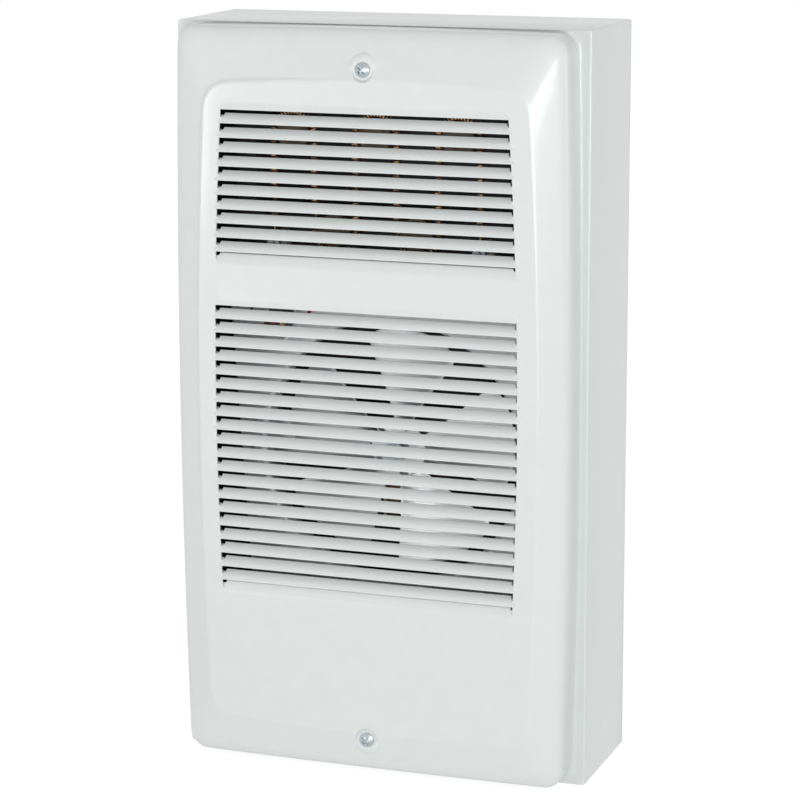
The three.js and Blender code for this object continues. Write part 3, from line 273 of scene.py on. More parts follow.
ENAMEL = Finish("white_paint", (0.775, 0.81, 0.8), (0.735, 0.775, 0.765), (0.3, 0.38), Grain.CLOUDS, 9 * MM,
                0.012 * MM, coat=0.45, skin=1.1 * MM)
GALVANISED = Finish("galvanised_sheet", (0.68, 0.7, 0.71), (0.53, 0.55, 0.565), (0.3, 0.46), Grain.SPANGLE,
                    7 * MM, 0.02 * MM, metallic=0.6)
# Painted shade: a near-black material for the can's inside, standing in for the dark seen through the
# louvres.
INSIDE_SHADE = Finish("bare_steel", (0.03, 0.031, 0.033), (0.05, 0.051, 0.053), (0.5, 0.65), Grain.CLOUDS,
                    12 * MM, 0.02 * MM, metallic=0.3)
BLACK_STEEL = Finish("black_steel", (0.03, 0.03, 0.032), (0.055, 0.05, 0.047), (0.55, 0.72), Grain.CLOUDS,
                     5 * MM, 0.03 * MM, metallic=0.4)
ZINC = Finish("zinc_plate", (0.5, 0.55, 0.57), (0.34, 0.39, 0.42), (0.22, 0.36), Grain.CLOUDS, 1.6 * MM,
              0.006 * MM, metallic=1.0)
ALUMINIUM = Finish("fan_aluminium", (0.74, 0.75, 0.76), (0.6, 0.61, 0.62), (0.3, 0.44), Grain.ROLLED,
                   0.7 * MM, 0.006 * MM, metallic=1.0)
BRASS = Finish("brass", (0.66, 0.47, 0.2), (0.5, 0.33, 0.13), (0.24, 0.4), Grain.CLOUDS, 2 * MM, 0.01 * MM,
               metallic=1.0)
BRONZE = Finish("bronze", (0.42, 0.24, 0.1), (0.27, 0.15, 0.07), (0.42, 0.6), Grain.FLAKES, 0.35 * MM,
                0.02 * MM, metallic=1.0)
LAMINATION = Finish("lamination_steel", (0.16, 0.165, 0.17), (0.05, 0.052, 0.055), (0.36, 0.5), Grain.SHEETS,
                    0.5 * MM, 0.05 * MM, metallic=0.9)
NYLON = Finish("nylon", (0.66, 0.62, 0.52), (0.58, 0.54, 0.44), (0.42, 0.52), Grain.CLOUDS, 4 * MM, 0.01 * MM)
COPPER = Finish("enamelled_copper", (0.24, 0.075, 0.035), (0.1, 0.03, 0.016), (0.24, 0.38), Grain.TURNS,
                0.42 * MM, 0.1 * MM, metallic=0.85, coat=0.5)
NICHROME = Finish("nichrome_wire", (0.85, 0.56, 0.27), (0.42, 0.25, 0.13), (0.2, 0.38), Grain.CLOUDS, 6 * MM,
                  0.01 * MM, metallic=1.0)
MICA = Finish("mica", (0.075, 0.05, 0.03), (0.17, 0.125, 0.08), (0.3, 0.55), Grain.FLAKES, 0.9 * MM,
              0.02 * MM)
CERAMIC = Finish("ceramic", (0.79, 0.73, 0.62), (0.7, 0.63, 0.52), (0.5, 0.62), Grain.CLOUDS, 1.5 * MM,
                 0.015 * MM)
PHENOLIC = Finish("phenolic", (0.012, 0.011, 0.01), (0.024, 0.021, 0.019), (0.3, 0.45), Grain.CLOUDS, 2 * MM,
                  0.01 * MM)
RED_PLASTIC = Finish("red_plastic", (0.4, 0.018, 0.012), (0.33, 0.014, 0.01), (0.28, 0.38), Grain.CLOUDS,
                     2 * MM, 0.006 * MM)
RUBBER = Finish("black_rubber", (0.012, 0.012, 0.012), (0.022, 0.022, 0.022), (0.68, 0.82), Grain.CLOUDS,
                1 * MM, 0.02 * MM)
BLACK_LEAD = Finish("black_insulation", (0.011, 0.011, 0.012), (0.018, 0.018, 0.018), (0.36, 0.48),
                    Grain.CLOUDS, 5 * MM, 0.008 * MM)
RED_LEAD = Finish("red_insulation", (0.35, 0.016, 0.012), (0.28, 0.012, 0.009), (0.36, 0.48), Grain.CLOUDS,
                  5 * MM, 0.008 * MM)
GREEN_SCREW = Finish("green_screw", (0.02, 0.17, 0.05), (0.035, 0.24, 0.085), (0.3, 0.42), Grain.CLOUDS,
                     0.8 * MM, 0.006 * MM, metallic=0.6)


# ---- the bench


class Bench:
    """Modelling by hand: primitives, edit-mode operators and modifiers, on one piece at a time."""

    smooth_angle = math.radians(38)
    flat_angle = math.radians(0.6)
    same_place = 0.002 * MM
    digits = 7

    @staticmethod
    def take(piece: Piece) -> None:
        """Makes a piece the only selected one and the active one."""
        bpy.ops.object.select_all(action="DESELECT")
        piece.select_set(True)
        bpy.context.view_layer.objects.active = piece

    @staticmethod
    @contextmanager
    def editing(piece: Piece, mode: str = "VERT") -> Iterator[None]:
        """Opens a piece in edit mode with everything selected, and closes it again.

        Args:
            piece: The piece.
            mode: What is selected: VERT, EDGE or FACE.

        Yields:
            Nothing.
        """
        Bench.take(piece)
        bpy.ops.object.mode_set(mode="EDIT")
        bpy.ops.mesh.select_mode(type=mode)
        bpy.ops.mesh.select_all(action="SELECT")
        yield
        bpy.ops.object.mode_set(mode="OBJECT")

    @staticmethod
    def pick(piece: Piece, layer: str, wanted: Callable[[object], bool]) -> None:
        """Selects what a test picks out of a piece in edit mode, and nothing else.

        Args:
            piece: The piece, in edit mode.
            layer: Which elements are tested: verts, edges or faces.
            wanted: The test.
        """
        bpy.ops.mesh.select_all(action="DESELECT")
        mesh = bmesh.from_edit_mesh(piece.data)
        for element in [element for element in getattr(mesh, layer) if wanted(element)]:
            element.select_set(True)
        mesh.select_flush_mode()
        bmesh.update_edit_mesh(piece.data)

    @staticmethod
    def face_outwards() -> None:
        """In edit mode, selects everything and turns every face outwards."""
        bpy.ops.mesh.select_all(action="SELECT")
        bpy.ops.mesh.normals_make_consistent(inside=False)

    @staticmethod
    def close() -> None:
        """In edit mode, merges doubles, drops loose ends and turns every face outwards."""
        bpy.ops.mesh.select_all(action="SELECT")
        bpy.ops.mesh.remove_doubles(threshold=Bench.same_place)
        bpy.ops.mesh.delete_loose()
        Bench.face_outwards()

    @staticmethod
    def key(point: Vector) -> tuple[float, ...]:
        """Returns a point's coordinates, rounded so that one place always gives one key."""
        return tuple(round(value, Bench.digits) for value in point)

    @staticmethod
    def loop(name: str, points: Sequence[Vector]) -> Piece:
        """Makes a closed loop of edges, from a circle with a vertex for each point.

        Args:
            name: The piece's name.
            points: The points, in order round the loop.

        Returns:
            The loop.
        """
        bpy.ops.object.select_all(action="DESELECT")
        bpy.ops.mesh.primitive_circle_add(vertices=len(points), radius=1.0, location=(0, 0, 0))
        piece = bpy.context.object
        piece.name = name
        piece.data.name = name
        for vertex, point in zip(piece.data.vertices, points):
            vertex.co = point
        return piece

    @staticmethod
    def grow(piece: Piece, before: Sequence[Vector], after: Sequence[Vector]) -> None:
        """In edit mode, extrudes the selected loop and moves the new loop to its points.

        Args:
            piece: The piece, with the loop selected.
            before: Where the loop's points are.
            after: Where the new loop's points go, in the same order.
        """
        bpy.ops.mesh.extrude_region()
        mesh = bmesh.from_edit_mesh(piece.data)
        goal = {Bench.key(old): new for old, new in zip(before, after)}
        for vertex in mesh.verts:
            if vertex.select:
                vertex.co = goal[Bench.key(vertex.co)]
        bmesh.update_edit_mesh(piece.data)

    @staticmethod
    def skin(name: str, rings: Sequence[Sequence[Vector]], closed: bool = True) -> Piece:
        """Makes a body over rings of points, by extruding one into the next.

        Args:
            name: The piece's name.
            rings: The rings, each with as many points.
            closed: Whether both ends are filled.

        Returns:
            The body.
        """
        rings = [[Vector(Bench.key(point)) for point in ring] for ring in rings]
        piece = Bench.loop(name, rings[0])
        with Bench.editing(piece):
            for before, after in zip(rings, rings[1:]):
                Bench.grow(piece, before, after)
            if closed:
                bpy.ops.mesh.edge_face_add()
                Bench.pick(piece, "edges", lambda edge: edge.is_boundary)
                bpy.ops.mesh.edge_face_add()
            Bench.face_outwards()
        return piece

    @staticmethod
    def prism(name: str, outline: Sequence[Pair], along: Along, start: float, end: float) -> Piece:
        """Makes a straight body from an outline.

        Args:
            name: The piece's name.
            outline: Its points, as pairs of the coordinates across the direction.
            along: The direction that it is drawn out along.
            start: The coordinate of the outline.
            end: The coordinate that it is drawn out to.

        Returns:
            The body.
        """
        piece = Bench.loop(name, [along.point(u, v, start) for u, v in outline])
        with Bench.editing(piece):
            bpy.ops.mesh.edge_face_add()
            bpy.ops.mesh.extrude_region()
            bpy.ops.transform.translate(value=along.point(0, 0, end - start))
            Bench.face_outwards()
        return piece

    @staticmethod
    def block(name: str, low: Sequence[float], high: Sequence[float]) -> Piece:
        """Makes a box between two corners, from a cube.

        Args:
            name: The piece's name.
            low: Its lowest corner.
            high: Its highest corner.

        Returns:
            The box.
        """
        low, high = Vector(low), Vector(high)
        bpy.ops.object.select_all(action="DESELECT")
        bpy.ops.mesh.primitive_cube_add(size=1.0, location=(low + high) / 2, scale=high - low)
        bpy.ops.object.transform_apply(location=True, rotation=True, scale=True)
        piece = bpy.context.object
        piece.name = name
        piece.data.name = name
        return piece

    @staticmethod
    def turned(name: str, profile: Sequence[Pair], along: Along, centre: Pair,
               steps: int = 48) -> Piece:
        """Makes a turned body.

        Args:
            name: The piece's name.
            profile: Pairs of radius and depth, round the section.
            along: The axis' direction.
            centre: The axis' place across that direction.
            steps: How many facets it has round the axis.

        Returns:
            The body.
        """
        u, v = centre
        piece = Bench.loop(name, [along.point(u + radius, v, depth) for radius, depth in profile])
        with Bench.editing(piece):
            bpy.ops.mesh.spin(steps=steps, angle=math.tau, center=along.point(u, v, 0.0),
                              axis=along.point(0, 0, 1))
            Bench.close()
        return piece

    @staticmethod
    def drill(along: Along, centre: Pair, radius: float, start: float, end: float,
              steps: int = 40) -> Piece:
        """Makes the cutter of a round hole from one depth to another."""
        profile = [(0, start), (radius, start), (radius, end), (0, end)]
        return Bench.turned("hole", profile, along, centre, steps)

    @staticmethod
    def modify(piece: Piece, kind: str, **settings: object) -> None:
        """Adds one modifier to a piece and applies it.

        Args:
            piece: The piece.
            kind: The modifier's type.
            **settings: The modifier's own settings.
        """
        Bench.take(piece)
        modifier = piece.modifiers.new(kind.lower(), kind)
        for name, value in settings.items():
            setattr(modifier, name, value)
        bpy.ops.object.modifier_apply(modifier=modifier.name)

    @staticmethod
    def combine(piece: Piece, others: Sequence[Piece], operation: str) -> None:
        """Joins others to a piece, or cuts them out of it, and removes them.

        Args:
            piece: The piece.
            others: The bodies, clear of each other.
            operation: UNION or DIFFERENCE.
        """
        if not others:
            return
        tool = Bench.join(others[0], others[1:])
        Bench.modify(piece, "BOOLEAN", operation=operation, object=tool, solver="EXACT")
        bpy.data.objects.remove(tool)

    @staticmethod
    def join(piece: Piece, others: Sequence[Piece]) -> Piece:
        """Puts other bodies into a piece's own mesh.

        Args:
            piece: The piece.
            others: The bodies.

        Returns:
            The piece.
        """
        if others:
            Bench.take(piece)
            for other in others:
                other.select_set(True)
            bpy.ops.object.join()
        return piece

    @staticmethod
    def copy(piece: Piece, name: str, move: Matrix) -> Piece:
        """Copies a piece with a mesh of its own.

        Args:
            piece: The piece.
            name: The copy's name.
            move: The copy's place, which goes into its mesh.

        Returns:
            The copy.
        """
        twin = bpy.data.objects.new(name, piece.data.copy())
        bpy.context.scene.collection.objects.link(twin)
        twin.data.transform(move)
        return twin

    @staticmethod
    def bevel(piece: Piece, width: float, segments: int, angle: float) -> None:
        """Rounds those edges of a piece that are sharper than an angle in degrees."""
        Bench.modify(piece, "BEVEL", width=width, segments=segments, limit_method="ANGLE",
                     angle_limit=math.radians(angle))

    @staticmethod
    def traced(name: str, node: str, quads: bool = False) -> Piece:
        """Copies a CAD node, with its loose triangles merged and joined.

        Args:
            name: The piece's name.
            node: The node's name.
            quads: Whether the triangles become quads, and not whole faces.

        Returns:
            The piece.
        """
        piece = bpy.data.objects.new(name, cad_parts[node].data.copy())
        bpy.context.scene.collection.objects.link(piece)
        Bench.take(piece)
        bpy.ops.mesh.customdata_custom_splitnormals_clear()
        with Bench.editing(piece):
            Bench.close()
            if quads:
                bpy.ops.mesh.tris_convert_to_quads(face_threshold=math.radians(40),
                                                   shape_threshold=math.radians(60))
            else:
                bpy.ops.mesh.dissolve_limited(angle_limit=Bench.flat_angle)
        return piece


def centre_of(node: str, along: Along = Along.Y) -> Pair:
    """Returns the middle of a CAD node's box, across a direction."""
    return tuple(sum(ends) / 2 for i, ends in enumerate(zip(*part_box(node))) if i != along.value)


def radius_of(node: str) -> float:
    """Returns the radius of a round CAD node, whose axis is along Y or Z."""
    low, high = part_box(node)
    return (high.x - low.x) / 2


def round_box(node: str, along: Along = Along.Y) -> tuple[float, float, Pair, float]:
    """Measures a round CAD node.

    Args:
        node: The node's name.
        along: Its axis' direction.

    Returns:
        Its low and its high end along that direction, its centre across it and its radius.
    """
    low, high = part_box(node)
    return low[along.value], high[along.value], centre_of(node, along), radius_of(node)


def dress(piece: Piece, finish: Finish, *nodes: str, body: Body = Body.HEATER,
          rounding: float = 0.0, segments: int = 2, angle: float = 32.0) -> None:
    """Finishes a piece: rounds and smooths it, gives it its material and its body, and hides the CAD nodes
    that it replaces.

    Args:
        piece: The piece.
        finish: Its finish.
        *nodes: The CAD nodes that it replaces.
        body: The body that it rides on.
        rounding: The width of the rounding of its sharp edges.
        segments: How many facets the rounding has.
        angle: Edges sharper than this many degrees are rounded.
    """
    if rounding:
        Bench.bevel(piece, rounding, segments, angle)
    Bench.take(piece)
    bpy.ops.object.shade_smooth_by_angle(angle=Bench.smooth_angle)
    piece.data.materials.clear()
    piece.data.materials.append(finish.material())
    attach(piece, body.value)
    if nodes:
        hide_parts(*nodes)
    LOG.info("%s: %d faces, %s, stands for %s", piece.name, len(piece.data.polygons), finish.slot,
             ", ".join(nodes) or "no node")


def turn_symmetrical(name: str, node: str, half: Sequence[Pair], finish: Finish, steps: int,
                     along: Along = Along.Y, body: Body = Body.HEATER, rounding: float = 0.0) -> None:
    """Turns a piece that is the same at both ends, in the place of a CAD node.

    Args:
        name: The piece's name.
        node: The node's name.
        half: Pairs of radius and distance from the end, from the inside outwards.
        finish: The piece's finish.
        steps: How many facets it has round its axis.
        along: Its axis' direction.
        body: The body that it rides on.
        rounding: The width of the rounding of its sharp edges.
    """
    low, high, centre, _ = round_box(node, along)
    profile = [(r, low + d) for r, d in half] + [(r, high - d) for r, d in reversed(half)]
    dress(Bench.turned(name, profile, along, centre, steps), finish, node, body=body, rounding=rounding)


def fit_screw(node: str, along: Along = Along.Y, head_up: bool = False, finish: Finish = ZINC) -> None:
    """Fits a pan-head sheet-metal screw in the place of a CAD node.

    Args:
        node: The node's name.
        along: The screw's direction.
        head_up: Whether its head is at the high end of that direction.
        finish: Its finish.
    """
    low, high, centre, head = round_box(node, along)
    ends = (high, low) if head_up else (low, high)
    pan_screw(f"{node}_zinc", along, centre, ends, (head, 2 * MM, 1.8 * MM), finish, node)


def pan_screw(name: str, along: Along, centre: Pair, ends: Pair, sizes: tuple[float, float, float],
              finish: Finish, *nodes: str) -> None:
    """Makes a pan-head screw: crowned head, cross recess and threaded shank.

    Args:
        name: The piece's name.
        along: The screw's direction.
        centre: Its place across that direction.
        ends: Where its head's crown is, and where its shank ends.
        sizes: The head's radius, the head's height and the shank's radius.
        finish: Its finish.
        *nodes: The CAD nodes that it replaces.
    """
    top, tip = ends
    head, head_height, shank = sizes
    way = math.copysign(1.0, tip - top)
    profile = [(0.0, top)]
    crown_steps = 5
    for i in range(1, crown_steps + 1):
        angle = math.pi / 2 * i / crown_steps
        profile.append((head * math.sin(angle) ** 0.8, top + way * head_height * 0.7 * (1 - math.cos(angle))))
    under = top + way * head_height
    profile += [(head * 0.97, under), (shank, under)]
    depth = THREAD * 0.5
    length = abs(tip - under)
    while depth < length - 1.5 * THREAD:
        profile += [(shank, under + way * depth), (shank * 0.78, under + way * (depth + THREAD / 2))]
        depth += THREAD
    profile += [(shank * 0.9, under + way * depth), (shank * 0.5, tip), (0.0, tip)]
    screw = Bench.turned(name, profile, along, centre, 32)
    recess = sorted([top + way * head_height * 0.6, top - way * head_height])
    long, thin = head * 0.55, head * 0.13
    for wide, high in ((long, thin), (thin, long)):
        corners = [along.point(centre[0] + sign * wide, centre[1] + sign * high, recess[(sign + 1) // 2])
                   for sign in (-1, 1)]
        Bench.combine(screw, [Bench.block("recess", *corners)], "DIFFERENCE")
    dress(screw, finish, *nodes)


def bend(start: Sequence[Vector], corner: Sequence[Vector], end: Sequence[Vector],
         steps: int) -> list[list[Vector]]:
    """Draws the rings of a rounded fold between two rings.

    Args:
        start: The ring where the fold starts.
        corner: The ring where its two sides would meet.
        end: The ring where it ends.
        steps: How many rings come after the start.

    Returns:
        The rings, with both ends.
    """
    rings = []
    for step in range(steps + 1):
        t = step / steps
        rings.append([a * (1 - t) ** 2 + b * (2 * t * (1 - t)) + c * t ** 2
                      for a, b, c in zip(start, corner, end)])
    return rings


def between(first: Sequence[Vector], second: Sequence[Vector], share: float) -> list[Vector]:
    """Returns the ring at a share of the way from one ring to another."""
    return [a.lerp(b, share) for a, b in zip(first, second)]


# ---- front cover


@dataclass(frozen=True)
class Insets:
    """How far a ring of the cover lies inside the rim's own outline, on each side."""

    sides: float
    top: float
    bottom: float


@dataclass
class FrontCover:
    """The stamped cover: rim, groove, riser, sloping margin and raised panel, with two louvre fields."""

    sheet: float = 1.2 * MM
    rim_width: float = 2.2 * MM
    groove_depth: float = 1.8 * MM
    dome_height: float = 34 * MM
    shoulder_drop: float = 8.4 * MM
    shoulder_inset: float = 4 * MM
    dome: Insets = Insets(6 * MM, 0.9 * MM, 2.6 * MM)
    panel_edge: Insets = Insets(25.1 * MM, 33.2 * MM, 31.5 * MM)
    dome_bow: Pair = (3.5 * MM, 0.9 * MM)
    panel_bow: Pair = (7.5 * MM, 5 * MM)
    dome_corner: float = 13 * MM
    panel_corner: float = 18 * MM
    panel_step: float = 1.9 * MM
    least_step: float = 0.08
    step_fade_x: Pair = (20 * MM, 100 * MM)
    step_fade_z: Pair = (-215 * MM, 190 * MM)
    side_steps: int = 12
    corner_steps: int = 14

    pitch: float = 9.525 * MM
    gap: float = 2.6 * MM
    lip: float = 1 * MM
    recess: float = 4.6 * MM
    blade_sheet: float = 1 * MM
    blade_drop: float = 0.2 * MM
    field_half_at_middle: float = 106.5 * MM
    field_bow: float = 10.5 * MM
    field_bow_height: float = 247.5 * MM
    notch: float = 2.2 * MM
    half_blank: float = 100 * MM
    upper_slots: int = 11
    lower_slots: int = 21
    first_slot: float = 56.3 * MM
    between_fields: float = 35.9 * MM
    sill: float = 7.4 * MM
    sill_foot: float = 1.4 * MM

    seat_drop: float = 1.9 * MM
    seat_radius: float = 6.6 * MM
    dimple_radius: float = 8.6 * MM
    screw_hole: float = 2.5 * MM

    def __post_init__(self) -> None:
        """Works out the places that follow from the node's box and the sizes."""
        low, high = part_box("front_cover")
        self.half_x = high.x
        self.half_z = high.z
        self.back = high.y
        self.panel = low.y + self.lip
        self.rim = self.panel + self.dome_height
        self.shoulder = self.panel + self.shoulder_drop
        self.louvre_top = self.pitch - self.gap - self.blade_drop

    def field_half(self, z: float) -> float:
        """Returns half the width of the louvres at a height."""
        return self.field_half_at_middle - self.field_bow * (z / self.field_bow_height) ** 2

    def fields(self) -> list[list[float]]:
        """Returns the heights of the slots of the upper and of the lower field."""
        top = self.half_z - self.first_slot
        upper = [top - self.pitch * i for i in range(self.upper_slots)]
        lower = [upper[-1] - self.between_fields - self.pitch * i for i in range(self.lower_slots)]
        return [upper, lower]

    def ring(self, insets: Insets, bow: Pair, corner: float, depth: float) -> list[Vector]:
        """Draws a rectangle with bowed sides and round corners.

        Args:
            insets: How far it lies inside the rim's own outline, at the middle of its sides.
            bow: How far its sides and its ends bow outwards.
            corner: The corners' radius.
            depth: Its Y.

        Returns:
            Its points, from the middle of the right side upwards.
        """
        points = []
        for turn, (sign_x, sign_z) in enumerate([(1, 1), (-1, 1), (-1, -1), (1, -1)]):
            half_x = self.half_x - insets.sides
            half_z = self.half_z - (insets.top if sign_z > 0 else insets.bottom)
            part = self.quarter(half_x, half_z, bow, corner)
            if turn % 2:
                part.reverse()
            points += [Vector((sign_x * x, depth, sign_z * z)) for x, z in part[:-1]]
        return points

    def quarter(self, half_x: float, half_z: float, bow: Pair, corner: float) -> list[Pair]:
        """Draws a quarter of a ring.

        Args:
            half_x: Half the ring's width, at the middle of its sides.
            half_z: Half its height, at the middle of its ends.
            bow: How far its sides and its ends bow outwards.
            corner: The corner's radius.

        Returns:
            Its points as X and Z, from the middle of the side to the middle of the end.
        """
        side_bow, end_bow = bow
        corner_x = half_x - side_bow * ((half_z - corner) / half_z) ** 2 - corner
        corner_z = half_z - end_bow * ((half_x - corner) / half_x) ** 2 - corner
        points = []
        for i in range(self.side_steps + 1):
            z = corner_z * i / self.side_steps
            points.append((half_x - side_bow * (z / half_z) ** 2, z))
        for i in range(1, self.corner_steps):
            angle = math.pi / 2 * i / self.corner_steps
            points.append((corner_x + corner * math.cos(angle), corner_z + corner * math.sin(angle)))
        for i in range(self.side_steps, -1, -1):
            x = corner_x * i / self.side_steps
            points.append((x, half_z - end_bow * (x / half_x) ** 2))
        return points

    def dome_ring(self, inset: float, depth: float) -> list[Vector]:
        """Returns a ring that follows the riser; above and below, the shoulder is folded more tightly."""
        dome = self.dome
        insets = Insets(dome.sides + inset, dome.top + 0.45 * inset, dome.bottom + 0.8 * inset)
        return self.ring(insets, self.dome_bow, self.dome_corner - inset / 2, depth)

    def panel_ring(self, inset: float, depth: float) -> list[Vector]:
        """Returns a ring that follows the raised panel's edge, inside it by an inset."""
        edge = self.panel_edge
        insets = Insets(edge.sides + inset, edge.top + inset, edge.bottom + inset)
        return self.ring(insets, self.panel_bow, self.panel_corner - inset / 2, depth)

    def rim_ring(self, inset: float, depth: float) -> list[Vector]:
        """Returns a ring that follows the straight rim, which is narrow at the top and bottom."""
        return self.ring(Insets(inset, 0.27 * inset, 0.9 * inset), (0.0, 0.0), 2 * MM, depth)

    def step_foot(self) -> list[Vector]:
        """Draws the foot of the step round the panel: deepest at the upper left, fading right and down.

        Returns:
            The ring.
        """
        start_x, reach_x = self.step_fade_x
        start_z, reach_z = self.step_fade_z
        ring = self.panel_ring(-1 * MM, self.panel)
        for point in ring:
            across = min(1.0, max(0.0, (start_x - point.x) / reach_x))
            up = min(1.0, max(0.0, (point.z - start_z) / reach_z))
            point.y += self.panel_step * max(self.least_step, across * up)
        return ring

    def outer_rings(self) -> list[list[Vector]]:
        """Draws the outside, from the raised panel out over the rim to its back edge.

        Returns:
            The rings.
        """
        foot = self.step_foot()
        shoulder_edge = self.dome_ring(self.shoulder_inset, self.shoulder)
        margin = [between(foot, shoulder_edge, share) for share in (0.09, 0.3, 0.5, 0.68, 0.84)]
        groove = self.rim + self.groove_depth
        root = self.dome_ring(0, groove)
        rim_foot = self.rim_ring(self.rim_width, self.rim + 0.1 * MM)
        step_side = between(self.panel_ring(0.6 * MM, self.panel), foot, 0.5)
        rings = [self.panel_ring(9 * MM, self.panel)]
        rings += bend(self.panel_ring(2.6 * MM, self.panel), self.panel_ring(0.7 * MM, self.panel),
                      step_side, 6)
        rings += bend(between(step_side, foot, 0.4), foot, margin[0], 4)
        rings += margin[1:-1]
        rings += bend(margin[-1], self.dome_ring(0.6 * MM, self.shoulder + 1.4 * MM),
                      self.dome_ring(0, self.shoulder + 5 * MM), 9)
        rings += [self.dome_ring(0, self.shoulder + 13 * MM)]
        rings += bend(self.dome_ring(0, groove - 2.2 * MM), self.dome_ring(0, groove - 0.1 * MM),
                      between(root, rim_foot, 0.42), 6)
        rings += bend(between(root, rim_foot, 0.8), self.rim_ring(1.95 * MM, self.rim),
                      self.rim_ring(1.2 * MM, self.rim), 4)
        rings += bend(self.rim_ring(0.9 * MM, self.rim), self.rim_ring(0, self.rim),
                      self.rim_ring(0, self.rim + 0.9 * MM), 4)
        rings += [self.rim_ring(0, self.back - 0.3 * MM), self.rim_ring(0.25 * MM, self.back)]
        return rings

    def inner_rings(self) -> list[list[Vector]]:
        """Draws the inside, from the rim's back edge to the back of the raised panel.

        Returns:
            The rings.
        """
        panel_edge = self.panel_ring(self.sheet / 2, self.panel + self.sheet * 1.5)
        shoulder_edge = self.dome_ring(self.shoulder_inset + self.sheet / 2, self.shoulder + self.sheet)
        rings = [self.dome_ring(self.sheet, self.back)]
        rings += bend(self.dome_ring(self.sheet, self.shoulder + 5 * MM),
                      self.dome_ring(self.sheet * 1.5, self.shoulder + 2.4 * MM),
                      between(panel_edge, shoulder_edge, 0.9), 5)
        rings += bend(between(panel_edge, shoulder_edge, 0.16),
                      self.panel_ring(1.6 * MM, self.panel + self.sheet),
                      self.panel_ring(5 * MM, self.panel + self.sheet), 5)
        rings += [self.panel_ring(9 * MM, self.panel + self.sheet)]
        return rings

    def window(self, slots: Sequence[float]) -> Piece:
        """Makes the cutter of a louvre field.

        Args:
            slots: The slots' heights.

        Returns:
            The cutter.
        """
        top = slots[0] + self.gap / 2
        bottom = slots[-1] - self.sill - 0.6 * MM
        steps = 16
        right = []
        for i in range(steps + 1):
            z = bottom + (top - bottom) * i / steps
            right.append((self.field_half(z), z))
        left = [(-x, z) for x, z in reversed(right)]
        return Bench.prism("field_window", right + left, Along.Y, self.panel - 5 * MM, self.panel + 5 * MM)

    def lip_section(self) -> list[Pair]:
        """Draws the rounded lip at a louvre's foot, as depth and height above the foot.

        Returns:
            The points, from its neck round its front to its inside.
        """
        front = self.panel - self.lip
        radius = 0.75 * MM
        arc_steps = 8
        start, end = math.radians(150), math.radians(290)
        points = [(front + 0.5 * MM, 1.9 * MM)]
        for i in range(arc_steps + 1):
            angle = start + (end - start) * i / arc_steps
            points.append((front + radius + radius * math.cos(angle), 0.9 * MM + radius * math.sin(angle)))
        points.append((front + 1.75 * MM, 1.05 * MM))
        return points

    def plate_section(self, neck: Pair) -> list[Pair]:
        """Draws a louvre's sloping plate, from its back over its upper edge and down its front.

        Args:
            neck: Where the lip starts.

        Returns:
            The points.
        """
        top = self.louvre_top
        back = self.panel + self.recess
        edge = [(back, top - 0.2 * MM), (back - 0.25 * MM, top), (back - 0.8 * MM, top),
                (back - self.blade_sheet - 0.1 * MM, top - 0.3 * MM)]
        start, end = Vector(edge[-1]), Vector(neck)
        slope = []
        for i in range(1, 5):
            t = i / 5
            point = start.lerp(end, t)
            slope.append((point.x - 0.9 * MM * t * (1 - t), point.y))
        return edge + slope

    def webs(self, top: float) -> Piece:
        """Makes the stretched metal that closes a louvre's two ends below their notches.

        Args:
            top: The height of the louvre's upper edge above its foot.

        Returns:
            The two webs as one piece, with the louvre's foot at height 0.
        """
        outline = [(self.panel + 0.3 * MM, 1.6 * MM), (self.panel + 0.3 * MM, top - 2.4 * MM),
                   (self.panel + 3.1 * MM, top - 1.2 * MM), (self.panel + 0.6 * MM, 1.6 * MM)]
        inner, outer = self.half_blank - 0.9 * MM, self.half_blank + 0.5 * MM
        pair = [Bench.prism("webs", outline, Along.X, side * inner, side * outer) for side in (-1, 1)]
        return Bench.join(pair[0], pair[1:])

    def louvre(self) -> Piece:
        """Makes one louvre, with notched ends and a lip that runs out over the sheet beside the window.

        Returns:
            The louvre, with its foot at height 0 and the window's edges at plus and minus half_blank.
        """
        lip = self.lip_section()
        section = lip + self.plate_section(lip[0])
        top = max(z for _, z in section)
        half = self.half_blank + 0.3 * MM
        piece = Bench.loop("louvre", [Vector((-half, y, z)) for y, z in section])
        with Bench.editing(piece):
            bpy.ops.mesh.edge_face_add()
            Bench.pick(piece, "verts", lambda vertex: any(
                math.hypot(vertex.co.y - y, vertex.co.z - z) < Bench.same_place
                for y, z in (lip[0], lip[-1])))
            bpy.ops.mesh.vert_connect()
            bpy.ops.mesh.select_all(action="SELECT")
            bpy.ops.mesh.extrude_region()
            bpy.ops.transform.translate(value=(2 * half, 0, 0))
            bpy.ops.mesh.select_mode(type="FACE")
            for side in (-1, 1):
                Bench.pick(piece, "faces", lambda face: abs(face.normal.x) > 0.9
                           and face.calc_center_median().x * side > 0
                           and face.calc_center_median().z < lip[0][1])
                reach = side * half
                for step, size in ((0.5, 1.0), (0.4, 0.84), (0.35, 0.6), (0.25, 0.4)):
                    bpy.ops.mesh.extrude_region()
                    bpy.ops.transform.translate(value=(side * step * MM, 0, 0))
                    reach += side * step * MM
                    bpy.ops.transform.resize(value=(1, size, size),
                                             center_override=(reach, self.panel + 0.35 * MM, 0.9 * MM))
            bpy.ops.mesh.select_mode(type="VERT")
            Bench.close()
        self.notch_ends(piece, top)
        return piece

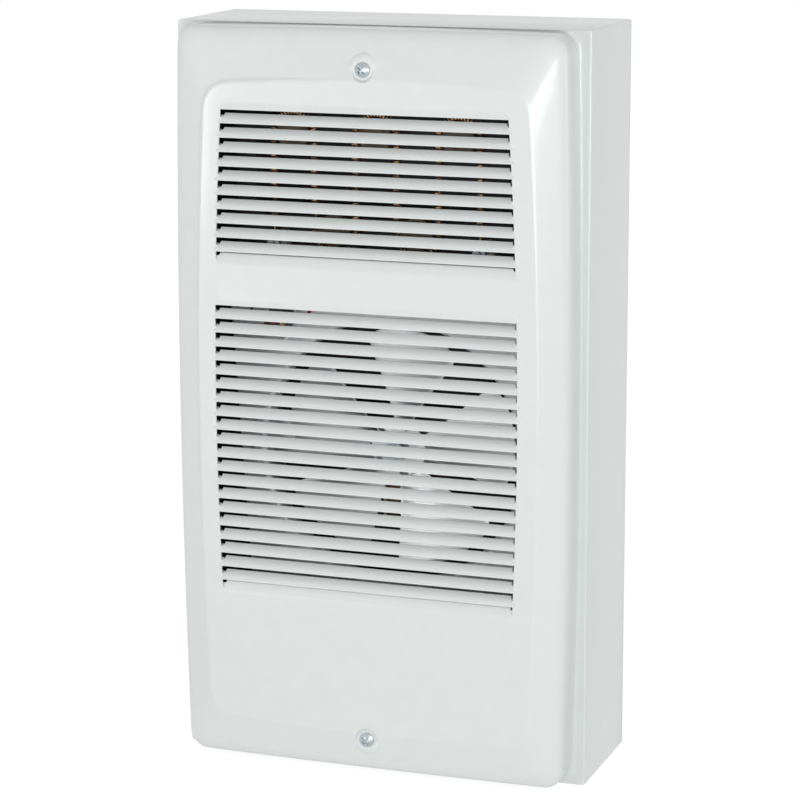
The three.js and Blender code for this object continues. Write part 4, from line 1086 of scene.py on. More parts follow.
    def notch_ends(self, piece: Piece, top: float) -> None:
        """Cuts the upper corners off a louvre.

        Args:
            piece: The louvre.
            top: The height of its upper edge above its foot.
        """
        inner, outer = self.half_blank - self.notch, self.half_blank + 2 * MM
        outline = [(inner, top + 1 * MM), (inner, top - 0.7 * MM), (inner + 0.5 * MM, top - 1.7 * MM),
                   (outer, top - 2.3 * MM), (outer, top + 1 * MM)]
        notches = [Bench.prism("notch", [(side * x, z) for x, z in outline], Along.Y,
                               self.panel + 0.1 * MM, self.panel + 8 * MM) for side in (-1, 1)]
        Bench.combine(piece, notches, "DIFFERENCE")

    def fitted(self, first: Piece, name: str, foot: float) -> Piece:
        """Copies a louvre to its place and fits its length to the field.

        Args:
            first: The louvre, as it was made.
            name: The copy's name.
            foot: The height of the copy's foot.

        Returns:
            The copy.
        """
        blade = Bench.copy(first, name, Matrix.Translation((0, 0, foot)))
        for vertex in blade.data.vertices:
            reach = self.field_half(vertex.co.z) + abs(vertex.co.x) - self.half_blank
            vertex.co.x = math.copysign(reach, vertex.co.x)
        return blade

    def feet(self) -> list[float]:
        """Returns the height of each louvre's foot."""
        return [slot - self.pitch + self.gap / 2 for slots in self.fields() for slot in slots[:-1]]

    def repeated(self, first: Piece, feet: Sequence[float]) -> list[Piece]:
        """Copies a piece to each place along the fields, and removes the first one.

        Args:
            first: The piece, with its foot at height 0.
            feet: The heights of the copies' feet.

        Returns:
            The copies.
        """
        made = [self.fitted(first, f"{first.name}_{i + 1}", foot) for i, foot in enumerate(feet)]
        bpy.data.objects.remove(first)
        return made

    def sill_feet(self) -> list[float]:
        """Returns the height of the foot of each field's ramp."""
        return [slots[-1] - self.sill - self.sill_foot for slots in self.fields()]

    def sill_ramp(self) -> Piece:
        """Makes the ramp by which the sheet comes forward again below a field's last slot.

        Returns:
            The ramp, with its foot at height 0.
        """
        foot, top = self.sill_foot, self.sill + self.sill_foot + 0.5 * MM
        panel = self.panel
        section = [(panel + 3.9 * MM, top - 0.9 * MM), (panel + 3.6 * MM, top - 0.1 * MM),
                   (panel + 3.1 * MM, top), (panel + 2.6 * MM, top - 0.3 * MM),
                   (panel + 1.7 * MM, top - 2.6 * MM), (panel + 0.7 * MM, foot + 2.2 * MM),
                   (panel + 0.2 * MM, foot + 1 * MM), (panel + 0.02 * MM, foot + 0.1 * MM),
                   (panel + 0.01 * MM, 0.0), (panel + self.sheet - 0.01 * MM, 0.0),
                   (panel + self.sheet - 0.01 * MM, foot)]
        half = self.half_blank + 0.3 * MM
        ramp = Bench.prism("sill", section, Along.X, -half, half)
        self.notch_ends(ramp, top)
        return ramp

    def eyebrow(self, slot: float) -> Piece:
        """Makes the lip that the raised panel forms above a field's first slot.

        Args:
            slot: The slot's height.

        Returns:
            The lip.
        """
        edge = slot + self.gap / 2
        front = self.panel - self.lip * 0.9
        section = [(self.panel + 0.5 * MM, edge + 5.4 * MM), (self.panel + 0.02 * MM, edge + 5.4 * MM),
                   (self.panel - 0.06 * MM, edge + 4.4 * MM), (self.panel - 0.34 * MM, edge + 2.4 * MM),
                   (front + 0.06 * MM, edge + 1 * MM), (front, edge + 0.5 * MM),
                   (front + 0.18 * MM, edge), (front + 0.7 * MM, edge - 0.2 * MM),
                   (self.panel + 0.5 * MM, edge - 0.2 * MM)]
        half = self.field_half(slot) + 0.4 * MM
        piece = Bench.prism("eyebrow", section, Along.X, -half, half)
        for vertex in piece.data.vertices:
            rise = max(0.0, vertex.co.z - edge - 0.4 * MM)
            vertex.co.x -= math.copysign(rise * 0.8, vertex.co.x)
        return piece

    def seats(self, centre: Pair) -> tuple[Piece, list[Piece]]:
        """Makes the flat seat of a cover screw: what is added to the sheet and what is cut away.

        Args:
            centre: The screw's place.

        Returns:
            The boss, and the cutters of the dimple and of the screw's hole.
        """
        seat = self.panel + self.seat_drop
        boss = Bench.turned("seat_boss", [
            (0, seat), (7.4 * MM, seat), (8.4 * MM, seat + 0.3 * MM), (9.6 * MM, seat + 1 * MM),
            (10.6 * MM, seat + 1.9 * MM), (10.6 * MM, seat + 2.6 * MM), (0, seat + 2.6 * MM)],
            Along.Y, centre, 64)
        wall = []
        wall_steps = 8
        for i in range(wall_steps + 1):
            t = i / wall_steps
            radius = self.dimple_radius + (self.seat_radius - self.dimple_radius) * t
            wall.append((radius, self.panel + self.seat_drop * t * t * (3 - 2 * t)))
        dimple = Bench.turned("dimple", [
            (0, self.panel - 3 * MM), (self.dimple_radius, self.panel - 3 * MM), *wall, (0, seat)],
            Along.Y, centre, 64)
        hole = Bench.drill(Along.Y, centre, self.screw_hole, self.panel - 2 * MM, seat + 4 * MM)
        return boss, [dimple, hole]

    def build(self) -> None:
        """Models the cover, its two screws and their brackets."""
        cover = Bench.skin("cover_sheet", self.outer_rings() + self.inner_rings())
        for end in ("top", "bottom"):
            boss, cutters = self.seats((0.0, centre_of(f"cover_screw_{end}")[1]))
            Bench.combine(cover, [boss], "UNION")
            for cutter in cutters:
                Bench.combine(cover, [cutter], "DIFFERENCE")
        for slots in self.fields():
            Bench.combine(cover, [self.window(slots)], "DIFFERENCE")
        Bench.combine(cover, [self.eyebrow(slots[0]) for slots in self.fields()], "UNION")
        Bench.combine(cover, self.repeated(self.sill_ramp(), self.sill_feet()), "UNION")
        Bench.combine(cover, self.repeated(self.louvre(), self.feet()), "UNION")
        Bench.combine(cover, self.repeated(self.webs(self.louvre_top), self.feet()), "UNION")
        Bench.combine(cover, self.repeated(self.webs(self.sill), self.sill_feet()), "UNION")
        dress(cover, ENAMEL, "front_cover")
        for end in ("top", "bottom"):
            self.screw(f"cover_screw_{end}")
            node = f"cover_bracket_{end}"
            dress(Bench.traced(f"{node}_sheet", node), GALVANISED, node, rounding=0.25 * MM)

    def screw(self, node: str) -> None:
        """Makes a cover screw: a pan head with a combined cross and slot, and a threaded shank.

        Args:
            node: The screw's CAD node.
        """
        front, tip, centre, head = round_box(node)
        height, shank = 2.4 * MM, 1.9 * MM
        profile = [(0, front)]
        crown_steps = 7
        for i in range(1, crown_steps + 1):
            angle = math.pi / 2 * i / crown_steps
            profile.append((head * (0.62 * math.sin(angle * 0.9) + 0.38 * (i / crown_steps) ** 3),
                            front + height * 0.72 * (1 - math.cos(angle)) ** 1.3))
        under = front + height
        profile += [(head, under - 0.25 * MM), (head - 0.2 * MM, under), (shank, under)]
        depth = under + 0.6 * MM
        while depth < tip - 2 * THREAD:
            profile += [(shank, depth), (shank - 0.4 * MM, depth + THREAD / 2)]
            depth += THREAD
        profile += [(shank - 0.1 * MM, depth), (shank * 0.45, tip), (0, tip)]
        piece = Bench.turned(f"{node}_zinc", profile, Along.Y, centre, 56)
        self.cut_cross(piece, centre, front, head)
        dress(piece, ZINC, node)

    def cut_cross(self, screw: Piece, centre: Pair, front: float, head: float) -> None:
        """Cuts a screw's combined recess: a tapered cross, and a slot through one of its bars.

        Args:
            screw: The screw.
            centre: Its place.
            front: Its head's front.
            head: Its head's radius.
        """
        bars = [(0.7, 0.2, 1.9 * MM, 45.0), (0.7, 0.2, 1.9 * MM, 135.0), (1.1, 0.11, 0.9 * MM, 45.0)]
        place = Matrix.Translation((centre[0], 0, centre[1]))
        for long, thin, deep, turn in bars:
            bar = Bench.block("recess_bar", (-head * long, front - 1 * MM, -head * thin),
                              (head * long, front + deep, head * thin))
            with Bench.editing(bar):
                Bench.pick(bar, "verts", lambda vertex: vertex.co.y > front)
                bpy.ops.transform.resize(value=(0.72 if long < 1 else 1.0, 1, 0.8))
            bar.data.transform(place @ Matrix.Rotation(math.radians(turn), 4, "Y"))
            Bench.combine(screw, [bar], "DIFFERENCE")


# ---- surface can


@dataclass
class SurfaceCan:
    """The deep can that hangs on the wall: one folded sheet with a lip round its open front."""

    sheet: float = 1.2 * MM
    lip: float = 14 * MM
    fold: float = 1.5 * MM
    knockout_radius: float = 11 * MM
    knockout_slot: float = 0.9 * MM
    knockout_bridge: float = 3 * MM
    knockout_x: float = 60 * MM
    knockout_y: float = -45 * MM
    knockout_z: float = -220.5 * MM
    wall_hole_radius: float = 3.2 * MM
    wall_hole_x: float = 118 * MM
    wall_hole_inset: float = 48 * MM
    screw_hole_radius: float = 2.1 * MM

    def shell(self) -> Piece:
        """Folds the can up from a box: front opened, lip left, sheet given its thickness.

        Returns:
            The can without its holes.
        """
        low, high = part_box("surface_can")
        can = Bench.block("can_sheet", low, high)
        with Bench.editing(can, "EDGE"):
            bpy.ops.mesh.bevel(offset=self.fold, segments=4, affect="EDGES")
            bpy.ops.mesh.select_mode(type="FACE")
            Bench.pick(can, "faces", lambda face: face.normal.y < -0.99)
            bpy.ops.mesh.inset(thickness=self.lip - self.fold)
            bpy.ops.mesh.delete(type="FACE")
        Bench.modify(can, "SOLIDIFY", thickness=self.sheet, offset=-1.0, use_even_offset=True)
        return can

    def ring_slot(self, along: Along, centre: Pair, low: float, high: float) -> Piece:
        """Makes the cutter of a knock-out: a ring with two bridges left.

        Args:
            along: The direction that it is struck along.
            centre: Its place across that direction.
            low: Where the cutter starts.
            high: Where it ends.

        Returns:
            The cutter.
        """
        inner = self.knockout_radius - self.knockout_slot / 2
        outer = self.knockout_radius + self.knockout_slot / 2
        u, v = centre
        ring = Bench.turned("knockout", [(inner, low), (outer, low), (outer, high), (inner, high)],
                            along, centre, 64)
        reach = outer * 2
        bridge = Bench.block("bridge", along.point(u - reach, v - self.knockout_bridge / 2, low - 5 * MM),
                             along.point(u + reach, v + self.knockout_bridge / 2, high + 5 * MM))
        Bench.combine(ring, [bridge], "DIFFERENCE")
        return ring

    def build(self) -> None:
        """Models the can, cuts its holes and paints shade onto its inside."""
        low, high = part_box("surface_can")
        can = self.shell()
        deep = 4 * MM
        cutters = []
        for side in (-1, 1):
            x = side * self.knockout_x
            cutters.append(self.ring_slot(Along.Z, (x, self.knockout_y), low.z - deep, low.z + deep))
            cutters.append(self.ring_slot(Along.Y, (x, self.knockout_z), high.y - deep, high.y + deep))
        holes = [((side * self.wall_hole_x, end), self.wall_hole_radius) for side in (-1, 1)
                 for end in (low.z + self.wall_hole_inset, high.z - self.wall_hole_inset)]
        holes += [(centre_of(screw), self.screw_hole_radius) for screw in (*DECK_SCREWS, "ground_screw")]
        cutters += [Bench.drill(Along.Y, centre, radius, -deep, deep) for centre, radius in holes]
        Bench.combine(can, cutters, "DIFFERENCE")
        Bench.combine(can, self.mitres(), "DIFFERENCE")
        dress(can, ENAMEL, "surface_can")
        # Paints shade onto the can's inside.
        self.paint_inside_shade(can)

    def paint_inside_shade(self, can: Piece) -> None:
        """Paints shade onto the can's inside: its inner faces get a near-black material that stands in for
        the dark behind the louvres.

        Args:
            can: The can.
        """
        low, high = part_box("surface_can")
        # The near-black material is painted shade, not the sheet's own colour.
        can.data.materials.append(INSIDE_SHADE.material())
        skin = self.sheet * 0.6
        for face in can.data.polygons:
            centre = face.center
            inside = abs(centre.x) < high.x - skin and abs(centre.z) < high.z - skin
            if inside and low.y + skin < centre.y < high.y - skin:
                face.material_index = 1

    def mitres(self) -> list[Piece]:
        """Makes the cutters of the thin seams where the lip's strips meet in the corners.

        Returns:
            The cutters.
        """
        low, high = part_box("surface_can")
        width = 0.25 * MM
        start = self.fold * 1.2
        cutters = []
        for sign_x in (-1, 1):
            for sign_z in (-1, 1):
                outer = (high.x - start, high.z - start)
                inner = (high.x - self.lip - 1 * MM, high.z - self.lip - 1 * MM)
                outline = [(sign_x * (inner[0] - width), sign_z * (inner[1] + width)),
                           (sign_x * (inner[0] + width), sign_z * (inner[1] - width)),
                           (sign_x * (outer[0] + width), sign_z * (outer[1] - width)),
                           (sign_x * (outer[0] - width), sign_z * (outer[1] + width))]
                cutters.append(Bench.prism("mitre", outline, Along.Y, low.y - 1 * MM, low.y + 2 * MM))
        return cutters


# ---- fan deck and baffle


@dataclass
class FanDeck:
    """The scoop behind the lower louvres, with the fan's rolled inlet, its feet and its screws."""

    sheet: float = 1.2 * MM
    taper: float = 0.066
    inlet_radius: float = 91 * MM
    roll: float = 5 * MM
    collar_depth: float = 12 * MM
    bend_width: float = 2.2 * MM
    foot: float = 12 * MM
    foot_height: float = 22 * MM
    steps: int = 144
    lead_hole_radius: float = 5 * MM
    lead_hole: Pair = (-55 * MM, 64 * MM)
    cup_hole: float = 8.3 * MM
    cup_ear_end: float = 4 * MM
    cup_screw_hole: float = 1.56 * MM
    screw_hole: float = 2.1 * MM
    grommet_hole: float = 6.9 * MM

    def half_at(self, z: float) -> float:
        """Returns half the deck's outer width at a height."""
        return self.top_half - (self.top - z) * self.taper

    def __post_init__(self) -> None:
        """Takes the deck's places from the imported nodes."""
        low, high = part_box("fan_deck")
        self.front, self.back = low.y, high.y
        self.bottom, self.top = low.z, high.z
        x, z = centre_of("deck_screw_3")
        self.top_half = abs(x) - self.foot / 2 + (self.top - z) * self.taper
        self.axis_z = centre_of("motor_shaft")[1]

    def outline_point(self, angle: float) -> Pair:
        """Finds where a ray from the fan's axis leaves the deck's outline.

        Args:
            angle: The ray's angle from +X towards +Z.

        Returns:
            The place, as X and Z.
        """
        dx, dz = math.cos(angle), math.sin(angle)
        reaches = []
        if dz > 0:
            reaches.append((self.top - self.axis_z) / dz)
        if dz < 0:
            reaches.append((self.bottom - self.axis_z) / dz)
        side = math.copysign(1.0, dx)
        reaches.append(self.half_at(self.axis_z) / (side * dx - dz * self.taper))
        reach = min(r for r in reaches if r > 0)
        return reach * dx, self.axis_z + reach * dz

    def angles(self) -> list[float]:
        """Returns the rays' angles, with the nearest ones turned to meet the outline's corners."""
        corners = [math.atan2(z - self.axis_z, side * self.half_at(z))
                   for side in (-1, 1) for z in (self.bottom, self.top)]
        angles = [math.tau * i / self.steps - math.pi for i in range(self.steps)]
        for corner in corners:
            nearest = min(range(self.steps), key=lambda i: abs(angles[i] - corner))
            angles[nearest] = corner
        return angles

    def shell(self) -> Piece:
        """Draws the deck out from the inlet's collar over its face and back along its sides.

        Returns:
            The deck, without its holes and feet.
        """
        angles = self.angles()

        def circle(radius: float, depth: float) -> list[Vector]:
            """Returns a ring round the fan's axis."""
            return [Vector((radius * math.cos(a), depth, self.axis_z + radius * math.sin(a))) for a in angles]

        outline = [self.outline_point(angle) for angle in angles]
        rings = [circle(self.inlet_radius, self.front + self.collar_depth)]
        roll_steps = 8
        for i in range(roll_steps + 1):
            angle = math.pi / 2 * i / roll_steps
            rings.append(circle(self.inlet_radius + self.roll * (1 - math.cos(angle)),
                                self.front + self.roll * (1 - math.sin(angle))))
        rings.append([Vector((x, self.front, z)) for x, z in outline])
        rings.append([Vector((x, self.back, z)) for x, z in outline])
        deck = Bench.skin("deck_sheet", rings, closed=False)
        edge = self.top - Bench.same_place
        with Bench.editing(deck, "FACE"):
            Bench.pick(deck, "faces", lambda face: all(v.co.z > edge for v in face.verts)
                       and face.calc_center_median().y > self.front + self.sheet)
            bpy.ops.mesh.delete(type="FACE")
            Bench.face_outwards()
            mesh = bmesh.from_edit_mesh(deck.data)
            face = next(face for face in mesh.faces
                        if all(abs(v.co.y - self.front) < Bench.same_place for v in face.verts))
            if face.normal.y > 0:
                bpy.ops.mesh.flip_normals()
        Bench.bevel(deck, self.bend_width, 4, 40)
        Bench.modify(deck, "SOLIDIFY", thickness=self.sheet, offset=-1.0, use_even_offset=True)
        return deck

    def holes(self) -> list[Piece]:
        """Makes the cutters of the deck's holes.

        Returns:
            The cutters.
        """
        deep = 4 * MM
        low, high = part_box("limit_cup")
        ear = (high.z - low.z) / 2 - self.cup_ear_end
        x, z = centre_of("limit_cup")
        rounds = [((x, z), self.cup_hole), ((x, z - ear), self.cup_screw_hole),
                  ((x, z + ear), self.cup_screw_hole), (self.lead_hole, self.lead_hole_radius)]
        rounds += [(centre_of(f"strap_screw_{side}"), self.screw_hole) for side in SIDES]
        cutters = [Bench.drill(Along.Y, centre, radius, self.front - deep, self.front + deep)
                   for centre, radius in rounds]
        cutters += [Bench.drill(Along.Z, centre_of(f"lead_grommet_{side}", Along.Z), self.grommet_hole,
                                self.bottom - deep, self.bottom + deep, 48) for side in SIDES]
        return cutters

    def feet(self) -> list[Piece]:
        """Makes the deck's four feet, each with its screw hole.

        Returns:
            The feet.
        """
        made = []
        half = self.foot_height / 2
        for screw in DECK_SCREWS:
            x, z = centre_of(screw)
            side = math.copysign(1.0, x)
            inner = side * (self.half_at(z - half) - self.sheet * 0.6)
            outer = x + side * self.foot / 2
            foot = Bench.block("foot", (min(inner, outer), self.back - self.sheet, z - half),
                               (max(inner, outer), self.back - 0.02 * MM, z + half))
            hole = Bench.drill(Along.Y, (x, z), self.screw_hole, -6 * MM, 2 * MM, 32)
            Bench.combine(foot, [hole], "DIFFERENCE")
            made.append(foot)
        return made

    def build(self) -> None:
        """Models the deck, its screws and the baffle above it."""
        deck = self.shell()
        Bench.combine(deck, self.feet(), "UNION")
        Bench.combine(deck, self.holes(), "DIFFERENCE")
        dress(deck, GALVANISED, "fan_deck")
        for screw in DECK_SCREWS:
            fit_screw(screw)
        node = "divider_baffle"
        dress(Bench.traced("baffle_sheet", node), GALVANISED, node, rounding=0.3 * MM)


# ---- fan and motor


@dataclass
class Fan:
    """The fan wheel with its hub, shaft and rotor; all of it turns."""

    blade_count: int = 5
    first_blade: float = 10.0
    root: float = 15 * MM
    ring: float = 5 * MM
    sheet: float = 1 * MM
    pitch: float = 15 * MM
    root_sweep: float = 40.0
    tip_sweep: float = 54.0
    hub_radius: float = 7.5 * MM
    hub_flange_sheet: float = 1.6 * MM
    bore: float = 3.08 * MM
    depth: float = -61 * MM
    steps: int = 14

    def __post_init__(self) -> None:
        """Takes the wheel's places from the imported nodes."""
        self.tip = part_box("fan_blades")[1].x
        self.axis_z = centre_of("motor_shaft")[1]
        self.centre = (0.0, self.axis_z)

    def blade(self) -> Piece:
        """Shapes one blade from a grid: swept, twisted and cupped, with its tip's corners rounded.

        Returns:
            The blade.
        """
        bpy.ops.object.select_all(action="DESELECT")
        bpy.ops.mesh.primitive_grid_add(x_subdivisions=self.steps, y_subdivisions=self.steps, size=1.0,
                                        location=(0, 0, 0))
        piece = bpy.context.object
        piece.name = "blade"
        for vertex in piece.data.vertices:
            u = vertex.co.x
            share = vertex.co.y + 0.5
            corner = abs(2 * u) ** 6
            reach = share * (1 - 0.07 * corner)
            radius = self.root + (self.tip - self.root) * reach - 0.2 * MM * share
            sweep = math.radians(self.root_sweep + (self.tip_sweep - self.root_sweep) * share)
            angle = math.radians(self.first_blade) + sweep * u * (1 - 0.05 * share ** 8)
            depth = self.pitch * (0.55 + 0.45 * share) * (u + 0.9 * (0.25 - u * u) - 0.11)
            vertex.co = (radius * math.cos(angle), self.depth + depth, self.axis_z + radius * math.sin(angle))
        Bench.modify(piece, "SOLIDIFY", thickness=self.sheet * 0.92, offset=0.0)
        Bench.bevel(piece, 0.3 * MM, 2, 50)
        with Bench.editing(piece):
            Bench.face_outwards()
        return piece

    def wheel(self) -> Piece:
        """Joins the blades to the wheel's pressed middle.

        Returns:
            The wheel.
        """
        first = self.blade()
        place = Matrix.Translation((0, 0, self.axis_z))
        blades = []
        for i in range(self.blade_count):
            turn = Matrix.Rotation(-math.tau * i / self.blade_count, 4, "Y")
            blades.append(Bench.copy(first, f"blade_{i + 1}", place @ turn @ place.inverted()))
        bpy.data.objects.remove(first)
        edge = self.root + self.ring
        bore = self.hub_radius + 0.3 * MM
        front, back = self.depth - self.sheet, self.depth + self.sheet
        wheel = Bench.turned("fan_wheel", [
            (bore, front), (edge - 4 * MM, front), (edge - 3 * MM, front + 0.3 * MM),
            (edge - 0.4 * MM, front + 0.35 * MM), (edge, front + 0.8 * MM), (edge, back - 0.4 * MM),
            (edge - 0.4 * MM, back), (bore, back)], Along.Y, self.centre, 96)
        Bench.combine(wheel, blades, "UNION")
        return wheel

    def hub(self) -> None:
        """Models the hub, with its tapped hole."""
        front, back, _, flange = round_box("fan_hub")
        step = back - self.hub_flange_sheet
        hub = Bench.turned("hub", [
            (self.bore, front), (self.hub_radius, front), (self.hub_radius, step), (flange, step),
            (flange, back), (self.bore, back)], Along.Y, self.centre, 72)
        _, high, centre, _ = round_box("hub_set_screw", Along.Z)
        tapped = Bench.drill(Along.Z, centre, 1.9 * MM, self.axis_z + 1 * MM, high + 3 * MM, 32)
        Bench.combine(hub, [tapped], "DIFFERENCE")
        dress(hub, ZINC, "fan_hub", body=Body.FAN, rounding=0.3 * MM)

    def set_screw(self) -> None:
        """Models the hub's set screw, with a socket in its outer end."""
        low, high, centre, radius = round_box("hub_set_screw", Along.Z)
        screw = Bench.turned("hub_set_screw_zinc", [
            (0, low), (radius * 0.6, low), (radius, low + 0.6 * MM), (radius, high - 0.3 * MM),
            (radius - 0.3 * MM, high), (0, high)], Along.Z, centre, 32)
        socket = Bench.drill(Along.Z, centre, 0.85 * MM, high - 1.8 * MM, high + 1 * MM, 6)
        Bench.combine(screw, [socket], "DIFFERENCE")
        dress(screw, ZINC, "hub_set_screw", body=Body.FAN)

    def build(self) -> None:
        """Models all that turns with the shaft."""
        dress(self.wheel(), ALUMINIUM, "fan_blades", body=Body.FAN)
        self.hub()
        self.set_screw()
        radius, chamfer = radius_of("motor_shaft") - 0.01 * MM, 0.5 * MM
        shaft = [(0, 0), (radius - chamfer, 0), (radius, chamfer)]
        turn_symmetrical("motor_shaft_zinc", "motor_shaft", shaft, ZINC, 48, body=Body.FAN)
        radius, ring = radius_of("motor_rotor"), 3 * MM
        rotor = [(self.bore, 1.2 * MM), (radius * 0.55, 1.2 * MM), (radius * 0.62, 0), (radius - 0.5 * MM, 0),
                 (radius - 0.3 * MM, ring), (radius, ring)]
        turn_symmetrical("motor_rotor_cast", "motor_rotor", rotor, ALUMINIUM, 72, body=Body.FAN)


@dataclass
class Motor:
    """The shaded-pole motor that carries the fan, and the strap that holds it behind the inlet."""

    bearing_radius: float = 5 * MM
    bearing_chamfer: float = 0.4 * MM
    bore: float = 3.08 * MM
    spacer_bore: float = 2.1 * MM

    def build(self) -> None:
        """Models the motor's still pieces."""
        plain = [("stator_laminations", LAMINATION, 0.2), ("stator_bobbin", NYLON, 0.3),
                 ("stator_winding", COPPER, 1.8), ("bearing_bracket_front", ZINC, 0.3),
                 ("bearing_bracket_rear", ZINC, 0.3), ("motor_strap", GALVANISED, 0.35)]
        for node, finish, width in plain:
            dress(Bench.traced(f"{node}_made", node), finish, node, rounding=width * MM,
                  segments=4 if width > 1 else 2, angle=50)
        chamfer = self.bearing_chamfer
        bush = [(self.bore, chamfer), (self.bore + chamfer, 0), (self.bearing_radius - chamfer, 0),
                (self.bearing_radius, chamfer)]
        for node in ("bearing_front", "bearing_rear"):
            turn_symmetrical(f"{node}_bush", node, bush, BRONZE, 48)
        for side in SIDES:
            self.fastening(side)

    def fastening(self, side: str) -> None:
        """Models a tie screw with its spacer and nut, and a strap screw.

        Args:
            side: left or right.
        """
        node = f"motor_spacer_{side}"
        outer = radius_of(node)
        spacer = [(self.spacer_bore, 0), (outer, 0), (outer, 1 * MM), (outer - 0.7 * MM, 1.8 * MM)]
        turn_symmetrical(f"{node}_rubber", node, spacer, RUBBER, 40, rounding=0.2 * MM)
        node = f"motor_nut_{side}"
        dress(Bench.traced(f"{node}_zinc", node), ZINC, node, rounding=0.25 * MM)
        fit_screw(f"motor_tie_screw_{side}")
        fit_screw(f"strap_screw_{side}")


# ---- element


@dataclass
class Element:
    """The open resistance wire, coiled tightly, that goes up and down round its mica formers."""

    columns: int = 6
    column_pitch: float = 29 * MM
    curls: int = 262
    curl_steps: int = 14
    curl_radius: float = 2.2 * MM
    wire_radius: float = 0.6 * MM
    turn_rise: float = 32 * MM
    stud_drop: float = 10 * MM
    nut_flat: float = 4.6 * MM * math.cos(math.pi / 6)
    seat_gap: float = 0.3 * MM
    frame_plate: float = -84 * MM

    def __post_init__(self) -> None:
        """Takes the coil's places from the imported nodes."""
        low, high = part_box("heating_coil")
        self.depth = (low.y + high.y) / 2
        self.turn_radius = self.column_pitch / 2
        self.upper = high.z - self.curl_radius - self.wire_radius - self.turn_radius
        self.lower = self.upper - 2 * self.turn_rise
        self.stud = self.lower - self.stud_drop
        self.seat = self.frame_plate - self.seat_gap

    def route(self, distance: float) -> tuple[Vector, Vector]:
        """Finds a place on the coil's centre line.

        Args:
            distance: How far along it, from the left end.

        Returns:
            The place, and the direction across the line there.
        """
        straight = self.upper - self.lower
        half_turn = math.pi * self.turn_radius
        first = -(self.columns - 1) / 2 * self.column_pitch
        left = distance
        for column in range(self.columns):
            x = first + column * self.column_pitch
            sign = 1 if column % 2 == 0 else -1
            if left <= straight or column == self.columns - 1:
                z = (self.lower if sign > 0 else self.upper) + sign * left
                return Vector((x, self.depth, z)), Vector((sign, 0, 0))
            left -= straight
            if left <= half_turn:
                angle = left / self.turn_radius
                centre = Vector((x + self.turn_radius, self.depth, self.upper if sign > 0 else self.lower))
                out = Vector((-math.cos(angle), 0, sign * math.sin(angle)))
                return centre + out * self.turn_radius, out * -sign
            left -= half_turn
        return Vector(), Vector()

    def wire(self) -> list[Vector]:
        """Winds the wire round its route, with a straight tail down to each stud.

        Returns:
            The wire's centre points.
        """
        total = (self.columns * (self.upper - self.lower)
                 + (self.columns - 1) * math.pi * self.turn_radius)
        steps = self.curls * self.curl_steps
        points = []
        for i in range(steps + 1):
            place, across = self.route(total * i / steps)
            turn = math.tau * i / self.curl_steps
            radius = self.curl_radius * min(1.0, min(i, steps - i) / self.curl_steps)
            points.append(place + across * (radius * math.cos(turn))
                          + Vector((0, 1, 0)) * (radius * math.sin(turn)))
        tail = self.stud + self.nut_flat + self.seat_gap
        middle = (tail + self.lower) / 2
        start = [Vector((points[0].x, self.depth, z)) for z in (tail, middle)]
        end = [Vector((points[-1].x, self.depth, z)) for z in (middle, tail)]
        return start + points + end

    def coil(self) -> Piece:
        """Draws the wire as a round tube along its centre points.

        Returns:
            The coil.
        """
        points = self.wire()
        line = bpy.data.curves.new("coil_wire", "CURVE")
        line.dimensions = "3D"
        spline = line.splines.new("POLY")
        spline.points.add(len(points) - 1)
        for target, point in zip(spline.points, points):
            target.co = (*point, 1.0)
        line.bevel_depth = self.wire_radius
        line.bevel_resolution = 1
        line.use_fill_caps = True
        piece = bpy.data.objects.new("coil_wire", line)
        bpy.context.scene.collection.objects.link(piece)
        Bench.take(piece)
        bpy.ops.object.convert(target="MESH")
        piece = bpy.context.object
        with Bench.editing(piece):
            Bench.face_outwards()
        return piece

    def former(self, node: str) -> None:
        """Turns a mica former: a grooved disc on a stem with a peg.

        Args:
            node: The CAD node.
        """
        _, end, centre, rim = round_box(node)
        stem, peg, disc = 4 * MM, 1.8 * MM, 6 * MM
        middle = self.depth
        front, back = middle - disc / 2, middle + disc / 2
        piece = Bench.turned(f"{node}_board", [
            (0, front + 0.6 * MM), (stem, front + 0.6 * MM), (stem + 1 * MM, front), (rim, front),
            (rim - 0.6 * MM, middle - 1.4 * MM), (rim - 0.9 * MM, middle),
            (rim - 0.6 * MM, middle + 1.4 * MM), (rim, back), (stem, back), (stem, self.seat),
            (peg, self.seat), (peg, end), (0, end)],
            Along.Y, centre, 56)
        dress(piece, MICA, node, rounding=0.15 * MM)

    def terminal(self, side: str) -> None:
        """Models one terminal: the ceramic bushing, the stud with its nut, and the frame's screw beside it.

        Args:
            side: left or right.
        """
        node = f"terminal_bushing_{side}"
        low, high, centre, outer = round_box(node)
        neck, bore = 3.8 * MM, 2.2 * MM
        piece = Bench.turned(f"{node}_fired", [
            (bore, low), (outer, low), (outer, low + 4 * MM), (outer - 1 * MM, low + 5.2 * MM),
            (outer, low + 6.4 * MM), (outer, self.seat), (neck, self.seat), (neck, high), (bore, high)],
            Along.Y, centre, 56)
        dress(piece, CERAMIC, node, rounding=0.35 * MM)
        node = f"terminal_stud_{side}"
        dress(Bench.traced(f"{node}_zinc", node), ZINC, node, rounding=0.2 * MM)
        fit_screw(f"frame_screw_{side}", Along.Z, head_up=True)

    def build(self) -> None:
        """Models the element with its frame."""
        node = "element_frame"
        dress(Bench.traced(f"{node}_steel", node), BLACK_STEEL, node, rounding=0.3 * MM)
        for number in range(1, self.columns):
            self.former(f"coil_former_{number}")
        dress(self.coil(), NICHROME, "heating_coil")
        for side in SIDES:
            self.terminal(side)


# ---- limit switch


